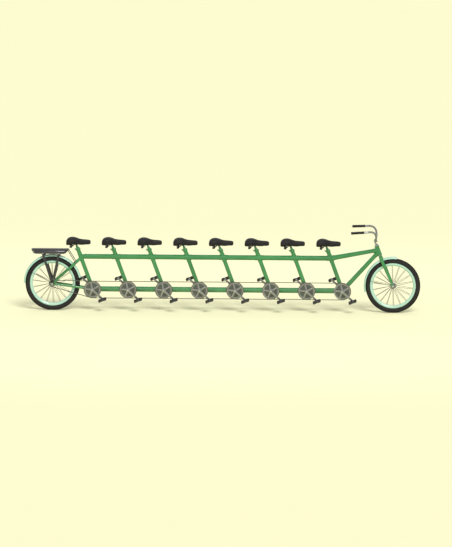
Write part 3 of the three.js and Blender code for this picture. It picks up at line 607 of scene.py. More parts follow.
# %% [markdown]
# ## Frame
#
# The real frame is brazed: plain steel tubes slide into short sleeves, called lugs, and brass is
# run in between. So every tube here is a round bar of its own, and each joint gets the sleeves
# that stand a little proud of it, with thinned edges.

# %% Main tubes
BOOM, TOP_TUBE, SEAT_TUBE, HEAD_TUBE = 0.033, 0.031, 0.025, 0.027
DOWN_TUBE, TUBE_END = 0.028, 0.025  # the down tube narrows towards the head
TOP_TUBE_END, SWAGE = 0.024, 0.060  # so does the top tube, at both of its ends
SHELL, SHELL_HALF = 0.036, 0.038
LUG = 0.0026  # how far a sleeve stands out of its tube
ROUND = 40


def seat_point(bracket, height):
    """Where the axis of a seat tube reaches a height."""
    return bracket + seat_up * ((height - bracket.z) / seat_up.z)


def sleeve(start, end, radius):
    """A lug: a collar on a tube, with both of its edges filed thin."""
    thin = 0.004
    run = (end - start).normalized() * thin
    ends = [rod(start - run, start, radius + 0.0004, radius + LUG, sides=ROUND)]
    ends.append(rod(end, end + run, radius + LUG, radius + 0.0004, sides=ROUND))
    return [rod(start, end, radius + LUG, sides=ROUND), *ends]


top_rear = seat_point(last, TOP_TUBE_HEIGHT)
top_front = seat_point(first, TOP_TUBE_HEIGHT)
top_meets = on_steering(HEAD_FOOT + 0.066)
down_meets = on_steering(HEAD_FOOT + 0.043)
tubes = [
    rod(last, first, BOOM, sides=ROUND),
    rod(top_rear + AHEAD * SWAGE, top_front, TOP_TUBE, sides=ROUND),
    rod(top_rear, top_rear + AHEAD * SWAGE, TOP_TUBE_END, TOP_TUBE, sides=ROUND),
    rod(top_front, top_meets, TOP_TUBE, TOP_TUBE_END, sides=ROUND),
    rod(first, down_meets, DOWN_TUBE, TUBE_END, sides=ROUND),
    rod(on_steering(HEAD_FOOT), on_steering(HEAD_TOP), HEAD_TUBE, sides=ROUND),
]
for bracket in brackets.values():
    ends = [bracket + LEFT * (side * SHELL_HALF) for side in (-1, 1)]
    tubes.append(rod(*ends, SHELL, sides=ROUND, edge=0.0015))
    tubes.append(rod(bracket, seat_point(bracket, SEAT_TUBE_TOP), SEAT_TUBE, sides=ROUND))

# %% [markdown]
# A lug's sleeve starts inside the joint and ends just past it. Where the seat tubes cross the top
# tube there are four sleeves, two up and down the seat tube and two along the top tube.

# %% Lugs
lugs = []
for k, bracket in brackets.items():
    cross = seat_point(bracket, TOP_TUBE_HEIGHT)
    lugs += sleeve(cross - seat_up * 0.048, cross + seat_up * 0.044, SEAT_TUBE)
    lugs += sleeve(bracket, bracket + seat_up * 0.062, SEAT_TUBE)
    ahead = (top_meets - top_front).normalized() if k == min(riders) else AHEAD
    if k < max(riders):
        lugs += sleeve(cross - AHEAD * 0.052, cross, TOP_TUBE)
        lugs += sleeve(cross, cross + ahead * 0.052, TOP_TUBE)
        lugs += sleeve(bracket - AHEAD * 0.060, bracket, BOOM)
    if k > min(riders):
        lugs += sleeve(bracket, bracket + AHEAD * 0.060, BOOM)
to_top = (top_front - top_meets).normalized()
to_down = (first - down_meets).normalized()
lugs += sleeve(top_meets, top_meets + to_top * 0.062, TOP_TUBE_END + 0.0012)
lugs += sleeve(down_meets, down_meets + to_down * 0.066, TUBE_END + 0.0005)
lugs += sleeve(first, first - to_down * 0.066, DOWN_TUBE)
for foot in (HEAD_FOOT, HEAD_TOP - 0.012):
    lugs.append(
        rod(
            on_steering(foot),
            on_steering(foot + 0.012),
            HEAD_TUBE + 0.003,
            sides=ROUND,
            edge=0.0015,
        ),
    )
print(len(tubes), "tubes and", len(lugs), "parts of lugs")

# %% [markdown]
# ### Stays and dropouts
#
# Four thinner stays carry the rear wheel. The lower pair swings out round the tyre, and the upper
# pair closes in above the mudguard. They are swept tubes that go from oval to round, flattened at
# the end where the dropout plate is brazed in.

# %% Rear triangle
DROPOUT_Y, DROPOUT_PLATE = 0.066, 0.008
seat_top = seat_point(last, TOP_TUBE_HEIGHT) - seat_up * 0.018
chain_run, seat_run = rear_axle - last, seat_top - rear_axle
past_guard = (GUARD_OUTSIDE + 0.014) / seat_run.length
tyre_nose = 1 - (TYRE_RADIUS - 0.030) / chain_run.length


def radial(angle, reach, out):
    """A point beside an axle, at an angle down from ahead, out along Y."""
    return Vector((reach * cos(angle), out, -reach * sin(angle)))


def beside(start, run, share, out):
    spot = start + run * share
    return Vector((spot.x, out, spot.z))


def lower_stay(side):
    shares = (0.03, 0.024), (tyre_nose - 0.080 / chain_run.length, 0.034), (tyre_nose, 0.047), (
        0.925, DROPOUT_Y
    )
    return [beside(last, chain_run, share, side * out) for share, out in shares]


def upper_stay(side):
    shares = (0.08, DROPOUT_Y), (0.45, 0.0594), (past_guard, 0.0495), (0.98, 0.0225)
    return [beside(rear_axle, seat_run, share, side * out) for share, out in shares]


stays = []
for side in (-1, 1):
    lower, upper = lower_stay(side), upper_stay(side)
    stays.append(tube(smooth_path(lower), lambda t: (0.0098 - 0.003 * t, 0.0178 - 0.006 * t), 20))
    stays.append(tube(smooth_path(upper), lambda t: (0.0066 + 0.002 * t, 0.0125 + 0.005 * t), 20))
    axle_end = Vector((rear_axle.x, side * DROPOUT_Y, rear_axle.z))
    eyelet = Vector((rear_axle.x, axle_end.y, rear_axle.z)) + radial(-radians(152), 0.026, 0)
    tips = (lower[-1], 0.0115), (upper[0] + seat_run * 0.03, 0.0115), (eyelet, 0.0062)
    for tip, small in tips:
        end = Vector((tip.x, axle_end.y, tip.z))
        stays.append(
            hull((axle_end, 0.019, DROPOUT_PLATE), (end, small, DROPOUT_PLATE), edge=0.0012)
        )
for start, run, share, out, thick in (
    (rear_axle, seat_run, past_guard + 0.02, 0.046, 0.0075),
    (last, chain_run, tyre_nose - 0.12, 0.034, 0.0075),
):
    stays.append(rod(beside(start, run, share, -out), beside(start, run, share, out), thick))
piece("frame_tubes", tubes + lugs + stays, GREEN, "frame", ["frame"])
print("stays run back", round(chain_run.length, 3), "m to the dropouts")

# %% [markdown]
# ### Bearing cups
#
# A cup is screwed into each end of every bottom bracket shell, and locked with a notched ring. The
# headset has two cups as well, with a nut on top. They are turned parts, so each is one outline
# spun about its axis.

# %% Bottom bracket and headset cups
cup = turned(
    [(0.012, 0), (0.030, 0), (0.0315, 0.0015), (0.0315, 0.005), (0.029, 0.0055)]
    + [(0.027, 0.008), (0.018, 0.009), (0.0165, 0.0075), (0.0112, 0.0075), (0.0112, 0)],
    steps=36,
)
cups = []
for bracket in brackets.values():
    for side in (-1, 1):
        face = bracket + LEFT * (side * SHELL_HALF)
        cups.append(moved(joined([cup]), placed(face, LEFT * side, AHEAD)))
piece("bottom_bracket_cups", cups, PLATED, "frame")

race = [(0.0152, 0), (0.0235, 0), (0.0262, 0.0025), (0.0262, 0.005), (0.0225, 0.0065)]
race += [(0.0225, 0.0085), (0.0245, 0.0095), (0.0235, 0.0115), (0.0152, 0.0115)]
lower_cup = turned(race, placed(on_steering(HEAD_FOOT - 0.0118), steer_up), ring=True)
upper_cup = turned(race, placed(on_steering(HEAD_TOP + 0.0117), -steer_up), ring=True)
piece("headset_cups", [lower_cup, upper_cup], PLATED, "frame")
print(len(cups), "bottom bracket cups, and two on the head tube")

# %% [markdown]
# ### Seat collars
#
# The top of each seat tube is slit, and a collar with one bolt squeezes it round the post. The
# collar is a turned band with two small ears behind it, joined by the bolt.

# %% Seat collars
collars, collar_bolts = [], []
for bracket in brackets.values():
    mouth = seat_point(bracket, SEAT_TUBE_TOP)
    band = [(0.0185, -0.020), (0.0288, -0.020), (0.0298, -0.018), (0.0298, 0.002)]
    band += [(0.0285, 0.0045), (0.0205, 0.0055), (0.0185, 0.0045)]
    collars.append(turned(band, placed(mouth, seat_up), 40, ring=True))
    behind = mouth - seat_up * 0.008 - AHEAD * 0.034
    for side in (-1, 1):
        ear = Matrix.Translation(behind + LEFT * (side * 0.0055)) @ facing(seat_up)
        collars.append(box((0.005, 0.016, 0.018), ear, 0.0015))
    ends = [behind + LEFT * y - AHEAD * 0.002 for y in (-0.011, 0.013)]
    collar_bolts.append(rod(*ends, 0.003, sides=16))
    collar_bolts.append(hexagon(ends[1], LEFT, 0.010, 0.005))
    collar_bolts.append(rod(ends[0], ends[0] - LEFT * 0.005, 0.0048, sides=20, edge=0.0008))
piece("seat_collars", collars, GREEN, "frame")
piece("seat_collar_bolts", collar_bolts, PLATED, "frame")
print(len(brackets), "collars, bolted round the mouths of the seat tubes")

# %% [markdown]
# ## Seat posts
#
# A post is a tube that slides in the seat tube, drawn narrower at its top, where the saddle's
# clamp grips it. Post, clamp and saddle ride on their own body, because the seat height can be
# changed.

# %% Seat posts and their clamps
CLAMP_HEIGHT, CLAMP_HALF = 0.832, 0.022
POST, POST_NECK = 0.0175, 0.0112
POST_INSERTED = 0.250  # how much of a post is inside its seat tube
for k, bracket in brackets.items():
    head = seat_point(bracket, CLAMP_HEIGHT)
    foot = seat_point(bracket, SEAT_TUBE_TOP) - seat_up * POST_INSERTED
    tall = (head - foot).length
    outline = [(0, 0), (0.0160, 0), (POST, 0.002), (POST, 0.262), (0.0168, 0.272)]
    outline += [(0.0125, 0.284), (POST_NECK, 0.292), (POST_NECK, tall), (0, tall)]
    spot = placed(foot, seat_up)
    piece(
        f"post_{k}",
        [turned(outline, spot, 40)],
        GREEN,
        f"seat_{k}",
        [f"seat_post_{k}"],
    )
    clamp = [rod(head - LEFT * CLAMP_HALF, head + LEFT * CLAMP_HALF, 0.0115, sides=28, edge=0.001)]
    for side in (-1, 1):
        out = LEFT * side
        clamp.append(rod(head + out * 0.006, head + out * 0.0165, 0.0140, sides=28, edge=0.0012))
        clamp.append(rod(head + out * 0.0175, head + out * 0.0220, 0.0138, sides=28, edge=0.0010))
        clamp.append(hexagon(head + out * 0.0215, out, 0.0165, 0.0065))
    piece(f"saddle_clamp_{k}", clamp, SPOKES, f"seat_{k}")
print("seat posts stand", round(CLAMP_HEIGHT - SEAT_TUBE_TOP, 3), "m out of their tubes")

# %% [markdown]
# ## Saddles
#
# A cruiser saddle is a pressed pan with a thick foam pad, under vinyl that is drawn tight and
# welted at its edge. Its outline is a pear: a broad domed seat that falls to a narrow nose. The
# cover is swept as rings along its length, each ring is pressed to a D, and a Subdivision
# Surface makes the crown smooth.

# %% Saddle cover
SADDLE_LENGTH, SADDLE_BEHIND = 0.306, 0.328
# Along the saddle as a share of its length, half width, height of the bottom, height of the top.
SADDLE_RINGS = [
    (0.004, 0.045, 0.830, 0.868),
    (0.014, 0.066, 0.824, 0.884),
    (0.045, 0.083, 0.821, 0.899),
    (0.100, 0.093, 0.821, 0.911),
    (0.180, 0.0975, 0.824, 0.9195),
    (0.270, 0.0955, 0.828, 0.9215),
    (0.360, 0.084, 0.831, 0.9175),
    (0.440, 0.066, 0.831, 0.9095),
    (0.520, 0.0475, 0.829, 0.9005),
    (0.610, 0.0345, 0.828, 0.8950),
    (0.720, 0.0275, 0.827, 0.8920),
    (0.830, 0.0255, 0.826, 0.8900),
    (0.925, 0.0235, 0.827, 0.8870),
    (0.975, 0.0185, 0.831, 0.8815),
    (0.994, 0.0115, 0.839, 0.8725),
]


def pressed(value, power):
    return abs(value) ** power * (1 if value > 0 else -1)


def saddle_cover(rear):
    """A ring for each row above: full at the sides, crowned on top and flat underneath."""
    middles = [
        rear + Vector((s * SADDLE_LENGTH, 0, (low + top) / 2)) for s, _, low, top in SADDLE_RINGS
    ]
    shape = bmesh.new()
    edges, begin = None, None
    for middle, (_, half, low, top) in zip(middles, SADDLE_RINGS):
        spot = placed(middle, AHEAD, LEFT)
        ring = bmesh.ops.create_circle(shape, segments=20, radius=1.0, matrix=spot)["verts"]
        for vert in ring:
            side, up = vert.co.y - middle.y, vert.co.z - middle.z
            vert.co.y = middle.y + half * pressed(side, 0.72)
            vert.co.z = middle.z + (top - low) / 2 * pressed(up, 0.92 if up > 0 else 0.5)
        new = list({edge for vert in ring for edge in vert.link_edges})
        if edges:
            bmesh.ops.bridge_loops(shape, edges=edges + new)
        edges, begin = new, begin or new
    close_ends(shape)
    caps = [face for face in shape.faces if len(face.verts) > 4]
    bmesh.ops.inset_region(shape, faces=caps, thickness=0.006, use_even_offset=True)
    caps = [face for face in shape.faces if len(face.verts) > 4]
    bmesh.ops.poke(shape, faces=caps)
    bmesh.ops.recalc_face_normals(shape, faces=shape.faces)
    return shape


def welt(rear, height):
    """A cord sewn round the cover, at a share of the cover's own height."""

    def spot(row, hand, inset=0.0):
        share, half, low, top = row
        return rear + Vector(
            (share * SADDLE_LENGTH + inset, hand * half, low + height * (top - low))
        )

    rows = SADDLE_RINGS[2:-2]
    rear_row, nose_row = SADDLE_RINGS[0], SADDLE_RINGS[-1]
    end = rear + Vector((0.0065, 0, rear_row[2] + 0.012))
    tip = rear + Vector((nose_row[0] * SADDLE_LENGTH - 0.0040, 0, nose_row[2] + 0.010))
    corners = [spot(rows[0], -1), end, *[spot(row, 1) for row in rows]]
    corners += [tip, *[spot(row, -1) for row in reversed(rows)]]
    return tube(smooth_path(corners, 5)[:-1], 0.0021, 8, UP, loop=True)


# %% [markdown]
# The pad is stiff moulded foam, which doesn't slump, so its crown is set by the rings and no cloth
# simulation is needed. Under it are the rails, bent from spring steel rod, and a pair of coil
# springs. A coil is a round wire swept along a helix.

# %% Saddles, rails and springs
SPRING_FOOT, SPRING_TOP, COIL, WIRE = 0.7945, 0.829, 0.0142, 0.0027
SPRING_INSET, SPRING_OUT = 0.060, 0.048


def coil(foot, tall, turns, radius, wire):
    steps = 14
    path = []
    for i in range(int(turns * steps) + 1):
        angle = tau * i / steps
        rise = tall * i / (turns * steps)
        path.append(foot + Vector((radius * cos(angle), radius * sin(angle), rise)))
    return tube(path, wire, 8)


for k, bracket in brackets.items():
    rear = Vector((bracket.x - SADDLE_BEHIND, 0, 0))
    cover = piece(
        f"saddle_cover_{k}", [saddle_cover(rear)], COVER, f"seat_{k}", [
            f"saddle_{k}"
        ], sharp=180
    )
    smooth = cover.modifiers.new("smooth", "SUBSURF")
    smooth.levels = smooth.render_levels = 2
    piece(f"saddle_welt_{k}", [welt(rear, 0.30)], GRIP, f"seat_{k}")
    rails = []
    clamp_x = seat_point(bracket, CLAMP_HEIGHT).x - rear.x
    for side in (-1, 1):
        bends = [(0.275, 0.010, 0.838), (0.235, 0.013, 0.830), (0.190, 0.020, 0.8275)]
        bends += [(clamp_x, 0.0190, 0.8315), (0.100, 0.024, 0.824), (0.078, 0.036, 0.806)]
        bends += [(SPRING_INSET, SPRING_OUT, SPRING_FOOT)]
        path = [rear + Vector((x, side * y, z)) for x, y, z in bends]
        rails.append(tube(smooth_path(path, 6), 0.0036, 10))
        foot = rear + Vector((SPRING_INSET, side * SPRING_OUT, SPRING_FOOT + 0.003))
        rails.append(coil(foot, SPRING_TOP - SPRING_FOOT, 4.5, COIL, WIRE))
        cap = foot + UP * (SPRING_TOP - SPRING_FOOT)
        rails.append(rod(cap - UP * 0.001, cap + UP * 0.003, 0.0165, sides=28, edge=0.001))
        rails.append(rod(foot - UP * 0.0052, foot - UP * 0.0012, 0.0165, sides=28, edge=0.001))
    yoke = [rear + Vector((SPRING_INSET, y, SPRING_FOOT - 0.0004)) for y in (-0.048, 0.048)]
    rails.append(rod(*yoke, 0.0030, sides=10))
    piece(f"saddle_rails_{k}", rails, SPOKES, f"seat_{k}")
print(len(riders), "saddles,", SADDLE_LENGTH, "m long")

# %% [markdown]
# ## Chain rings and cranks
#
# A chain ring's tooth is the space left between two rollers. One circle with several points to
# each tooth is enough to draw that: the points move in and out with a rounded wave, then the
# circle is bridged to a plain inner one and given its thickness.

# %% Toothed rings
CHAIN_PITCH = 0.0127
RING_TEETH, SPROCKET_TEETH = 52, 20


def pitch_radius(teeth):
    return CHAIN_PITCH / 2 / sin(pi / teeth)


POINTS_PER_TOOTH = 8
ROOT, TIP = -0.0040, 0.0033  # how far the teeth go, in and out of the rollers' circle


def toothed_ring(teeth, inside, thick, gap_at=0.0):
    """A flat toothed ring about Z. A gap between teeth faces the angle gap_at."""
    pitch = pitch_radius(teeth)
    shape = bmesh.new()
    outer = bmesh.ops.create_circle(shape, segments=teeth * POINTS_PER_TOOTH, radius=pitch)["verts"]
    outer_edges = list({edge for vert in outer for edge in vert.link_edges})
    for vert in outer:
        angle = atan2(vert.co.y, vert.co.x)
        wave = cos((angle - gap_at) * teeth)
        reach = ROOT if wave > 0.62 else TIP if wave < -0.75 else -0.0002 - 0.0041 * wave
        turn = Matrix.Rotation(angle, 4, "Z")
        vert.co = turn @ Vector((pitch + reach, 0, 0))
    inner = bmesh.ops.create_circle(shape, segments=teeth * 2, radius=inside)["verts"]
    inner_edges = list({edge for vert in inner for edge in vert.link_edges})
    bmesh.ops.bridge_loops(shape, edges=outer_edges + inner_edges)
    flat = shape.faces[:]
    grown = bmesh.ops.extrude_face_region(shape, geom=flat, use_keep_orig=True)["geom"]
    lifted = [part for part in grown if isinstance(part, bmesh.types.BMVert)]
    bmesh.ops.translate(shape, vec=(0, 0, thick), verts=lifted)
    bmesh.ops.translate(shape, vec=(0, 0, -thick / 2), verts=shape.verts)
    bmesh.ops.recalc_face_normals(shape, faces=shape.faces)
    return shape


# %% [markdown]
# The rings are bolted to a five-armed spider, forged with the right crank. The seven bracket
# sets that pass the drive on have two rings, side by side, one for the chain ahead and one for
# the chain behind. The first has one ring only.

# %% Cranksets
CRANK, CRANK_ANGLE = 0.175, radians(42)
CRANK_IN, CRANK_OUT = 0.074, 0.088
OUTER_LINE, INNER_LINE = 0.060, 0.050
BOLT_CIRCLE = 0.0735


def ring_shapes(line):
    whole = [moved(toothed_ring(RING_TEETH, 0.0835, 0.0036), on_axle(Vector((0, -line, 0))))]
    for i in range(5):
        angle = CRANK_ANGLE + tau * i / 5
        outer, inner = radial(angle, 0.086, -line), radial(angle, BOLT_CIRCLE, -line)
        whole.append(
            hull((outer, 0.0085, 0.0032), (inner, 0.0078, 0.0032), edge=0.0004, segments=1)
        )
    return whole


def ring_shade_disc():
    """The pressed disc that fills the ring, with two raised beads to stiffen it; its dark grey is
    painted shade in the ring's open middle.
    """
    back = [(0.0210, 0.0), (0.0370, 0.0), (0.0395, -0.0012), (0.0430, -0.0012), (0.0455, 0.0)]
    back += [(0.0600, 0.0), (0.0625, -0.0012), (0.0660, -0.0012), (0.0685, 0.0), (0.0850, 0.0)]
    front = [(r, y - 0.0011) for r, y in reversed(back)]
    return turned(back + front, on_axle(Vector((0, -OUTER_LINE + 0.0016, 0))), 72, ring=True)


def crank_arm(ahead, side):
    """A forged arm: deep at the boss, waisted, then round at the pedal eye."""
    mid = (CRANK_IN + CRANK_OUT) / 2 * side
    arm = [
        hull(
            (Vector((0.012 * ahead, mid, 0)), 0.0155, 0.0130),
            (Vector((0.160 * ahead, mid + side * 0.0005, 0)), 0.0110, 0.0110),
            edge=0.0035,
            segments=3,
        )
    ]
    eye = Vector((CRANK * ahead, 0, 0))
    arm.append(
        rod(
            eye + LEFT * side * CRANK_IN,
            eye + LEFT * side * CRANK_OUT,
            0.0150,
            sides=32,
            edge=0.002,
        ),
    )
    arm.append(
        rod(LEFT * side * 0.068, LEFT * side * (CRANK_OUT + 0.0008), 0.0205, sides=36, edge=0.0025)
    )
    return arm


def spider():
    arms = []
    for i in range(5):
        angle = CRANK_ANGLE + tau * i / 5
        root, tip = radial(angle, 0.012, -0.0685), radial(angle, BOLT_CIRCLE, -0.0660)
        arms.append(hull((root, 0.0150, 0.0085), (tip, 0.0078, 0.0060), edge=0.0016))
    return arms


def ring_bolts(lines):
    bolts = []
    for i in range(5):
        angle = CRANK_ANGLE + tau * i / 5
        face = radial(angle, BOLT_CIRCLE, -0.0690)
        bolts.append(rod(face + LEFT * 0.0005, face - LEFT * 0.0018, 0.0056, sides=24, edge=0.0008))
        far = radial(angle, BOLT_CIRCLE, -min(lines) + 0.0040)
        bolts.append(rod(face, far, 0.0045, sides=16))
    return bolts


for k, bracket in brackets.items():
    lines = (OUTER_LINE,) if k == min(riders) else (OUTER_LINE, INNER_LINE)
    spot = Matrix.Translation(bracket)
    body = f"crank_{k}"
    rings = [shape for line in lines for shape in ring_shapes(line)]
    piece(f"chain_rings_{k}", rings, RINGS, body, spot=spot)
    # The dark disc in each ring is painted shade, set where the ring's open middle would show
    # shade.
    piece(f"ring_shade_disc_{k}", [ring_shade_disc()], RING_SHADE_GREY, body, spot=spot)
    turn = spot @ Matrix.Rotation(CRANK_ANGLE, 4, "Y")
    arms = crank_arm(1, -1) + crank_arm(-1, 1)
    arms.append(rod(LEFT * -0.070, LEFT * 0.070, 0.0100, sides=24))
    piece(f"cranks_{k}", arms, ALLOY, body, [f"crankset_{k}"], turn)
    piece(f"spider_{k}", spider(), ALLOY, body, spot=spot)
    steel = ring_bolts(lines)
    for side in (-1, 1):
        cap = [
            (0, 0.0022),
            (0.0050, 0.0020),
            (0.0095, 0.0010),
            (0.0105, 0),
            (0.0105, -0.003),
            (0, -0.003),
        ]
        face = LEFT * (side * (CRANK_OUT + 0.0008))
        steel.append(turned(cap, placed(face, LEFT * side, AHEAD), 28))
    piece(f"crank_bolts_{k}", steel, PLATED, body, spot=spot)
    stubs = []
    for side in (-1, 1):
        eye = Vector((-side * CRANK, 0, 0))
        stubs.append(rod(eye + LEFT * side * 0.080, eye + LEFT * side * 0.1885, 0.0066, sides=20))
        stubs.append(
            rod(eye + LEFT * side * 0.088, eye + LEFT * side * 0.0915, 0.0098, sides=6, edge=0.0005)
        )
    piece(f"pedal_axles_{k}", stubs, PLATED, body, spot=turn)
print(
    "rings of", RING_TEETH, "teeth,", round(pitch_radius(RING_TEETH) * 2, 4), "m across the rollers"
)

# %% [markdown]
# ## Pedals
#
# A block pedal has two rubber treads, moulded with ridges across them, held by rods between two
# steel end plates. A tube in the middle turns on the pedal's axle.

# %% Pedals
PEDAL_LONG, PEDAL_WIDE = 0.100, 0.098
TREAD_LONG = 0.037


def pedal_treads():
    shapes = []
    for ahead in (-1, 1):
        middle = Vector((ahead * (PEDAL_LONG - TREAD_LONG) / 2, 0, 0))
        block = box((TREAD_LONG, PEDAL_WIDE - 0.010, 0.023), Matrix.Translation(middle), 0.004, 3)
        ridges = []
        for i in range(9):
            out = (i - 4) * 0.0098
            for over in (-1, 1):
                spot = Matrix.Translation(middle + Vector((0, out, over * 0.0122)))
                ridges.append(box((TREAD_LONG - 0.006, 0.0056, 0.0056), spot, 0.0012, 1))
        shapes += [block, *ridges]
    return shapes


def pedal_cage():
    shapes = []
    for side in (-1, 1):
        out = side * (PEDAL_WIDE / 2 - 0.0022)
        ends = [(Vector((x, out, 0)), 0.0105, 0.0030) for x in (-0.036, 0.036)]
        shapes.append(hull(*ends, (Vector((0, out, 0)), 0.0128, 0.0030), edge=0.0005))
        for x in (-0.0315, 0.0315):
            nut = Vector((x, side * (PEDAL_WIDE / 2 - 0.0012), 0))
            shapes.append(hexagon(nut - LEFT * side * 0.001, LEFT * side, 0.0085, 0.0022))
    shapes.append(rod(LEFT * -0.046, LEFT * 0.046, 0.0108, sides=24, edge=0.001))
    return shapes


treads, cage = joined(pedal_treads()), joined(pedal_cage())
PEDAL_TILT = Matrix.Rotation(-radians(20), 4, "Y")
for k in riders:
    for hand in ("right", "left"):
        body = f"pedal_{hand}_{k}"
        spot = Matrix.Translation(joint_spot(f"pedal_spin_{hand}_{k}")) @ PEDAL_TILT
        piece(f"treads_{hand}_{k}", [treads], TREAD, body, [body], spot)
        piece(f"cage_{hand}_{k}", [cage], BLACK, body, spot=spot)
print(len(riders) * 2, "pedals of", len(treads.faces) + len(cage.faces), "faces")

# %% [markdown]
# ## Chains
#
# A roller chain is narrow links and wide links by turns, riveted at each roller. The distance
# between two bracket sets is a whole number of links, so the same chain fits every one of them,
# and every roller falls into the gap between two teeth. Links are stepped along the chain's
# path: two straight runs, and an arc round each wheel.

# %% Chain paths


def chain_spots(ahead, ahead_radius, behind, behind_radius, first_angle):
    """Evenly stepped roller places round two wheels, starting on the wheel ahead."""
    run = ahead - behind
    heading = atan2(run.z, run.x)
    spread = acos((behind_radius - ahead_radius) / hypot(run.x, run.z))
    straight = sqrt(hypot(run.x, run.z) ** 2 - (behind_radius - ahead_radius) ** 2)
    over, under = heading + spread, heading - spread
    arc_ahead = 2 * spread
    arc_behind = tau - 2 * spread

    def at(wheel, radius, angle):
        return wheel + Vector((radius * cos(angle), 0, radius * sin(angle)))

    legs = [
        (arc_ahead * ahead_radius, lambda t: at(ahead, ahead_radius, under + arc_ahead * t)),
        (
            straight,
            lambda t: at(ahead, ahead_radius, over).lerp(at(behind, behind_radius, over), t),
        ),
        (arc_behind * behind_radius, lambda t: at(behind, behind_radius, over + arc_behind * t)),
        (
            straight,
            lambda t: at(behind, behind_radius, under).lerp(at(ahead, ahead_radius, under), t),
        ),
    ]
    whole = sum(length for length, _ in legs)
    count = 2 * round(whole / CHAIN_PITCH / 2)
    start = (first_angle - under) * ahead_radius
    spots = []
    for i in range(count):
        gone = (start + whole * i / count) % whole
        for length, at_share in legs:
            if gone <= length:
                break
            gone -= length
        spots.append(at_share(gone / length))
    return spots


def link(wide):
    """One link along X from the origin: two plates, and the roller at its near end."""
    out = 0.0031 if wide else 0.0021
    shape = []
    for side in (-1, 1):
        ends = [(Vector((x, side * out, 0)), 0.0040, 0.0009) for x in (0, CHAIN_PITCH)]
        shape.append(hull(*ends, sides=6))
    shape.append(rod(LEFT * -0.0020, LEFT * 0.0020, 0.0038, sides=8))
    if wide:
        for x in (0, CHAIN_PITCH):
            pin = Vector((x, 0, 0))
            shape.append(rod(pin - LEFT * 0.0038, pin + LEFT * 0.0038, 0.0019, sides=6))
    return joined(shape)


links = [link(False), link(True)]


def chain(spots, line):
    placed_links = ([], [])
    for i, (spot, after) in enumerate(zip(spots, spots[1:] + spots[:1])):
        along = after - spot
        stretch = Matrix.Diagonal((along.length / CHAIN_PITCH, 1, 1, 1))
        turn = Matrix.Rotation(-atan2(along.z, along.x), 4, "Y")
        placed_links[i % 2].append(Matrix.Translation(spot - LEFT * line) @ turn @ stretch)
    return [joined([shape], spots) for shape, spots in zip(links, placed_links)]


# %% [markdown]
# The seven timing chains take turns on two lines, so that each bracket set can carry one chain on
# its outer ring and the next on its inner one. The drive chain runs on the inner line.

# %% Timing chains and drive chain
ring_radius, sprocket_radius = pitch_radius(RING_TEETH), pitch_radius(SPROCKET_TEETH)
timing = []
for k in list(riders)[:-1]:
    line = OUTER_LINE if k % 2 else INNER_LINE
    timing += chain(chain_spots(brackets[k], ring_radius, brackets[k + 1], ring_radius, 0.0), line)
piece("timing_chain_links", timing, CHAIN, "frame", ["timing_chains"], sharp=40)

drive_spots = chain_spots(last, ring_radius, rear_axle, sprocket_radius, 0.0)
piece(
    "drive_chain_links",
    chain(drive_spots, INNER_LINE),
    CHAIN,
    "frame",
    ["drive_chain"],
    sharp=40,
)
print(len(drive_spots), "links in the drive chain")

# %% [markdown]
# The rear sprocket has to be turned until its gaps meet the rollers of the drive chain, as it
# would be by hand when the chain is put on. The roller that is furthest back tells the angle.

# %% Rear sprocket
furthest = min(drive_spots, key=lambda spot: spot.x) - rear_axle
gap_at = -atan2(furthest.z, furthest.x)
sprocket_middle = rear_axle - LEFT * INNER_LINE
cog = [moved(toothed_ring(SPROCKET_TEETH, 0.0262, 0.0030, gap_at), on_axle(sprocket_middle))]
freewheel = [
    (0.0196, -0.0020), (0.0268, -0.0020), (0.0268, 0.0085), (0.0258, 0.0098), (0.0196, 0.0098)
]
cog.append(turned(freewheel, on_axle(sprocket_middle), 48, ring=True))
notches = []
for i in range(12):
    angle = tau * i / 12
    ridge = sprocket_middle + radial(angle, 0.0262, 0.0060)
    notches.append(rod(ridge - LEFT * 0.003, ridge + LEFT * 0.003, 0.0016, sides=8))
piece("sprocket_ring", cog + notches, RINGS, "rear_sprocket", ["rear_sprocket"])
print("a sprocket of", SPROCKET_TEETH, "teeth, turned to meet its chain")

# %% [markdown]
# ## Wheels
#
# A balloon tyre is a carcass turned from one section, with a tread of separate rubber blocks. The
# blocks are copies of one small bevelled box, set round the crown in rows, each row half a step
# on from the next.

# %% Tyres
RIM_DEPTH, RIM_HALF = 0.034, 0.019


def tyre_carcass():
    bead, crown = RIM_RADIUS + 0.0006, TYRE_RADIUS - 0.0032
    side = [
        (bead, 0.0150),
        (bead + 0.0020, 0.0188),
        (bead + 0.0052, 0.0196),
        (bead + 0.0058, 0.0212),
        (bead + 0.0085, 0.0220),
        (bead + 0.0092, 0.0238),
        (bead + 0.0150, 0.0276),
        (bead + 0.0215, 0.0293),
        (bead + 0.0290, 0.0296),
        (bead + 0.0300, 0.0291),
        (bead + 0.0360, 0.0278),
        (bead + 0.0430, 0.0235),
        (bead + 0.0485, 0.0170),
        (crown - 0.0012, 0.0090),
        (crown, 0),
    ]
    other = [(r, -y) for r, y in reversed(side[:-1])]
    return turned(side + other, ring=True, steps=128)


def tread_blocks():
    count = 108
    rows = [
        (0.0, 0.0, 0.0095, 0.0125),
        (0.0115, 0.5, 0.0085, 0.0115),
        (-0.0115, 0.5, 0.0085, 0.0115),
        (0.0205, 0.0, 0.0070, 0.0100),
        (-0.0205, 0.0, 0.0070, 0.0100),
    ]
    shapes = []
    for out, phase, wide, long in rows:
        drop = 3.9 * out**2 + 420 * out**4
        block = box((long, 0.0054, wide), edge=0.0011, segments=1)
        spots = []
        for i in range(count):
            turn = Matrix.Rotation(tau * (i + phase) / count, 4, "Z")
            tilt = Matrix.Rotation(-out * 28, 4, "X")
            lift = Matrix.Translation((0, TYRE_RADIUS - 0.0027 - drop, out))
            spots.append(turn @ lift @ tilt)
        shapes.append(joined([block], spots))
    return shapes


tyre_shape = joined([tyre_carcass(), *tread_blocks()])
print("a tyre of", len(tyre_shape.faces), "faces")

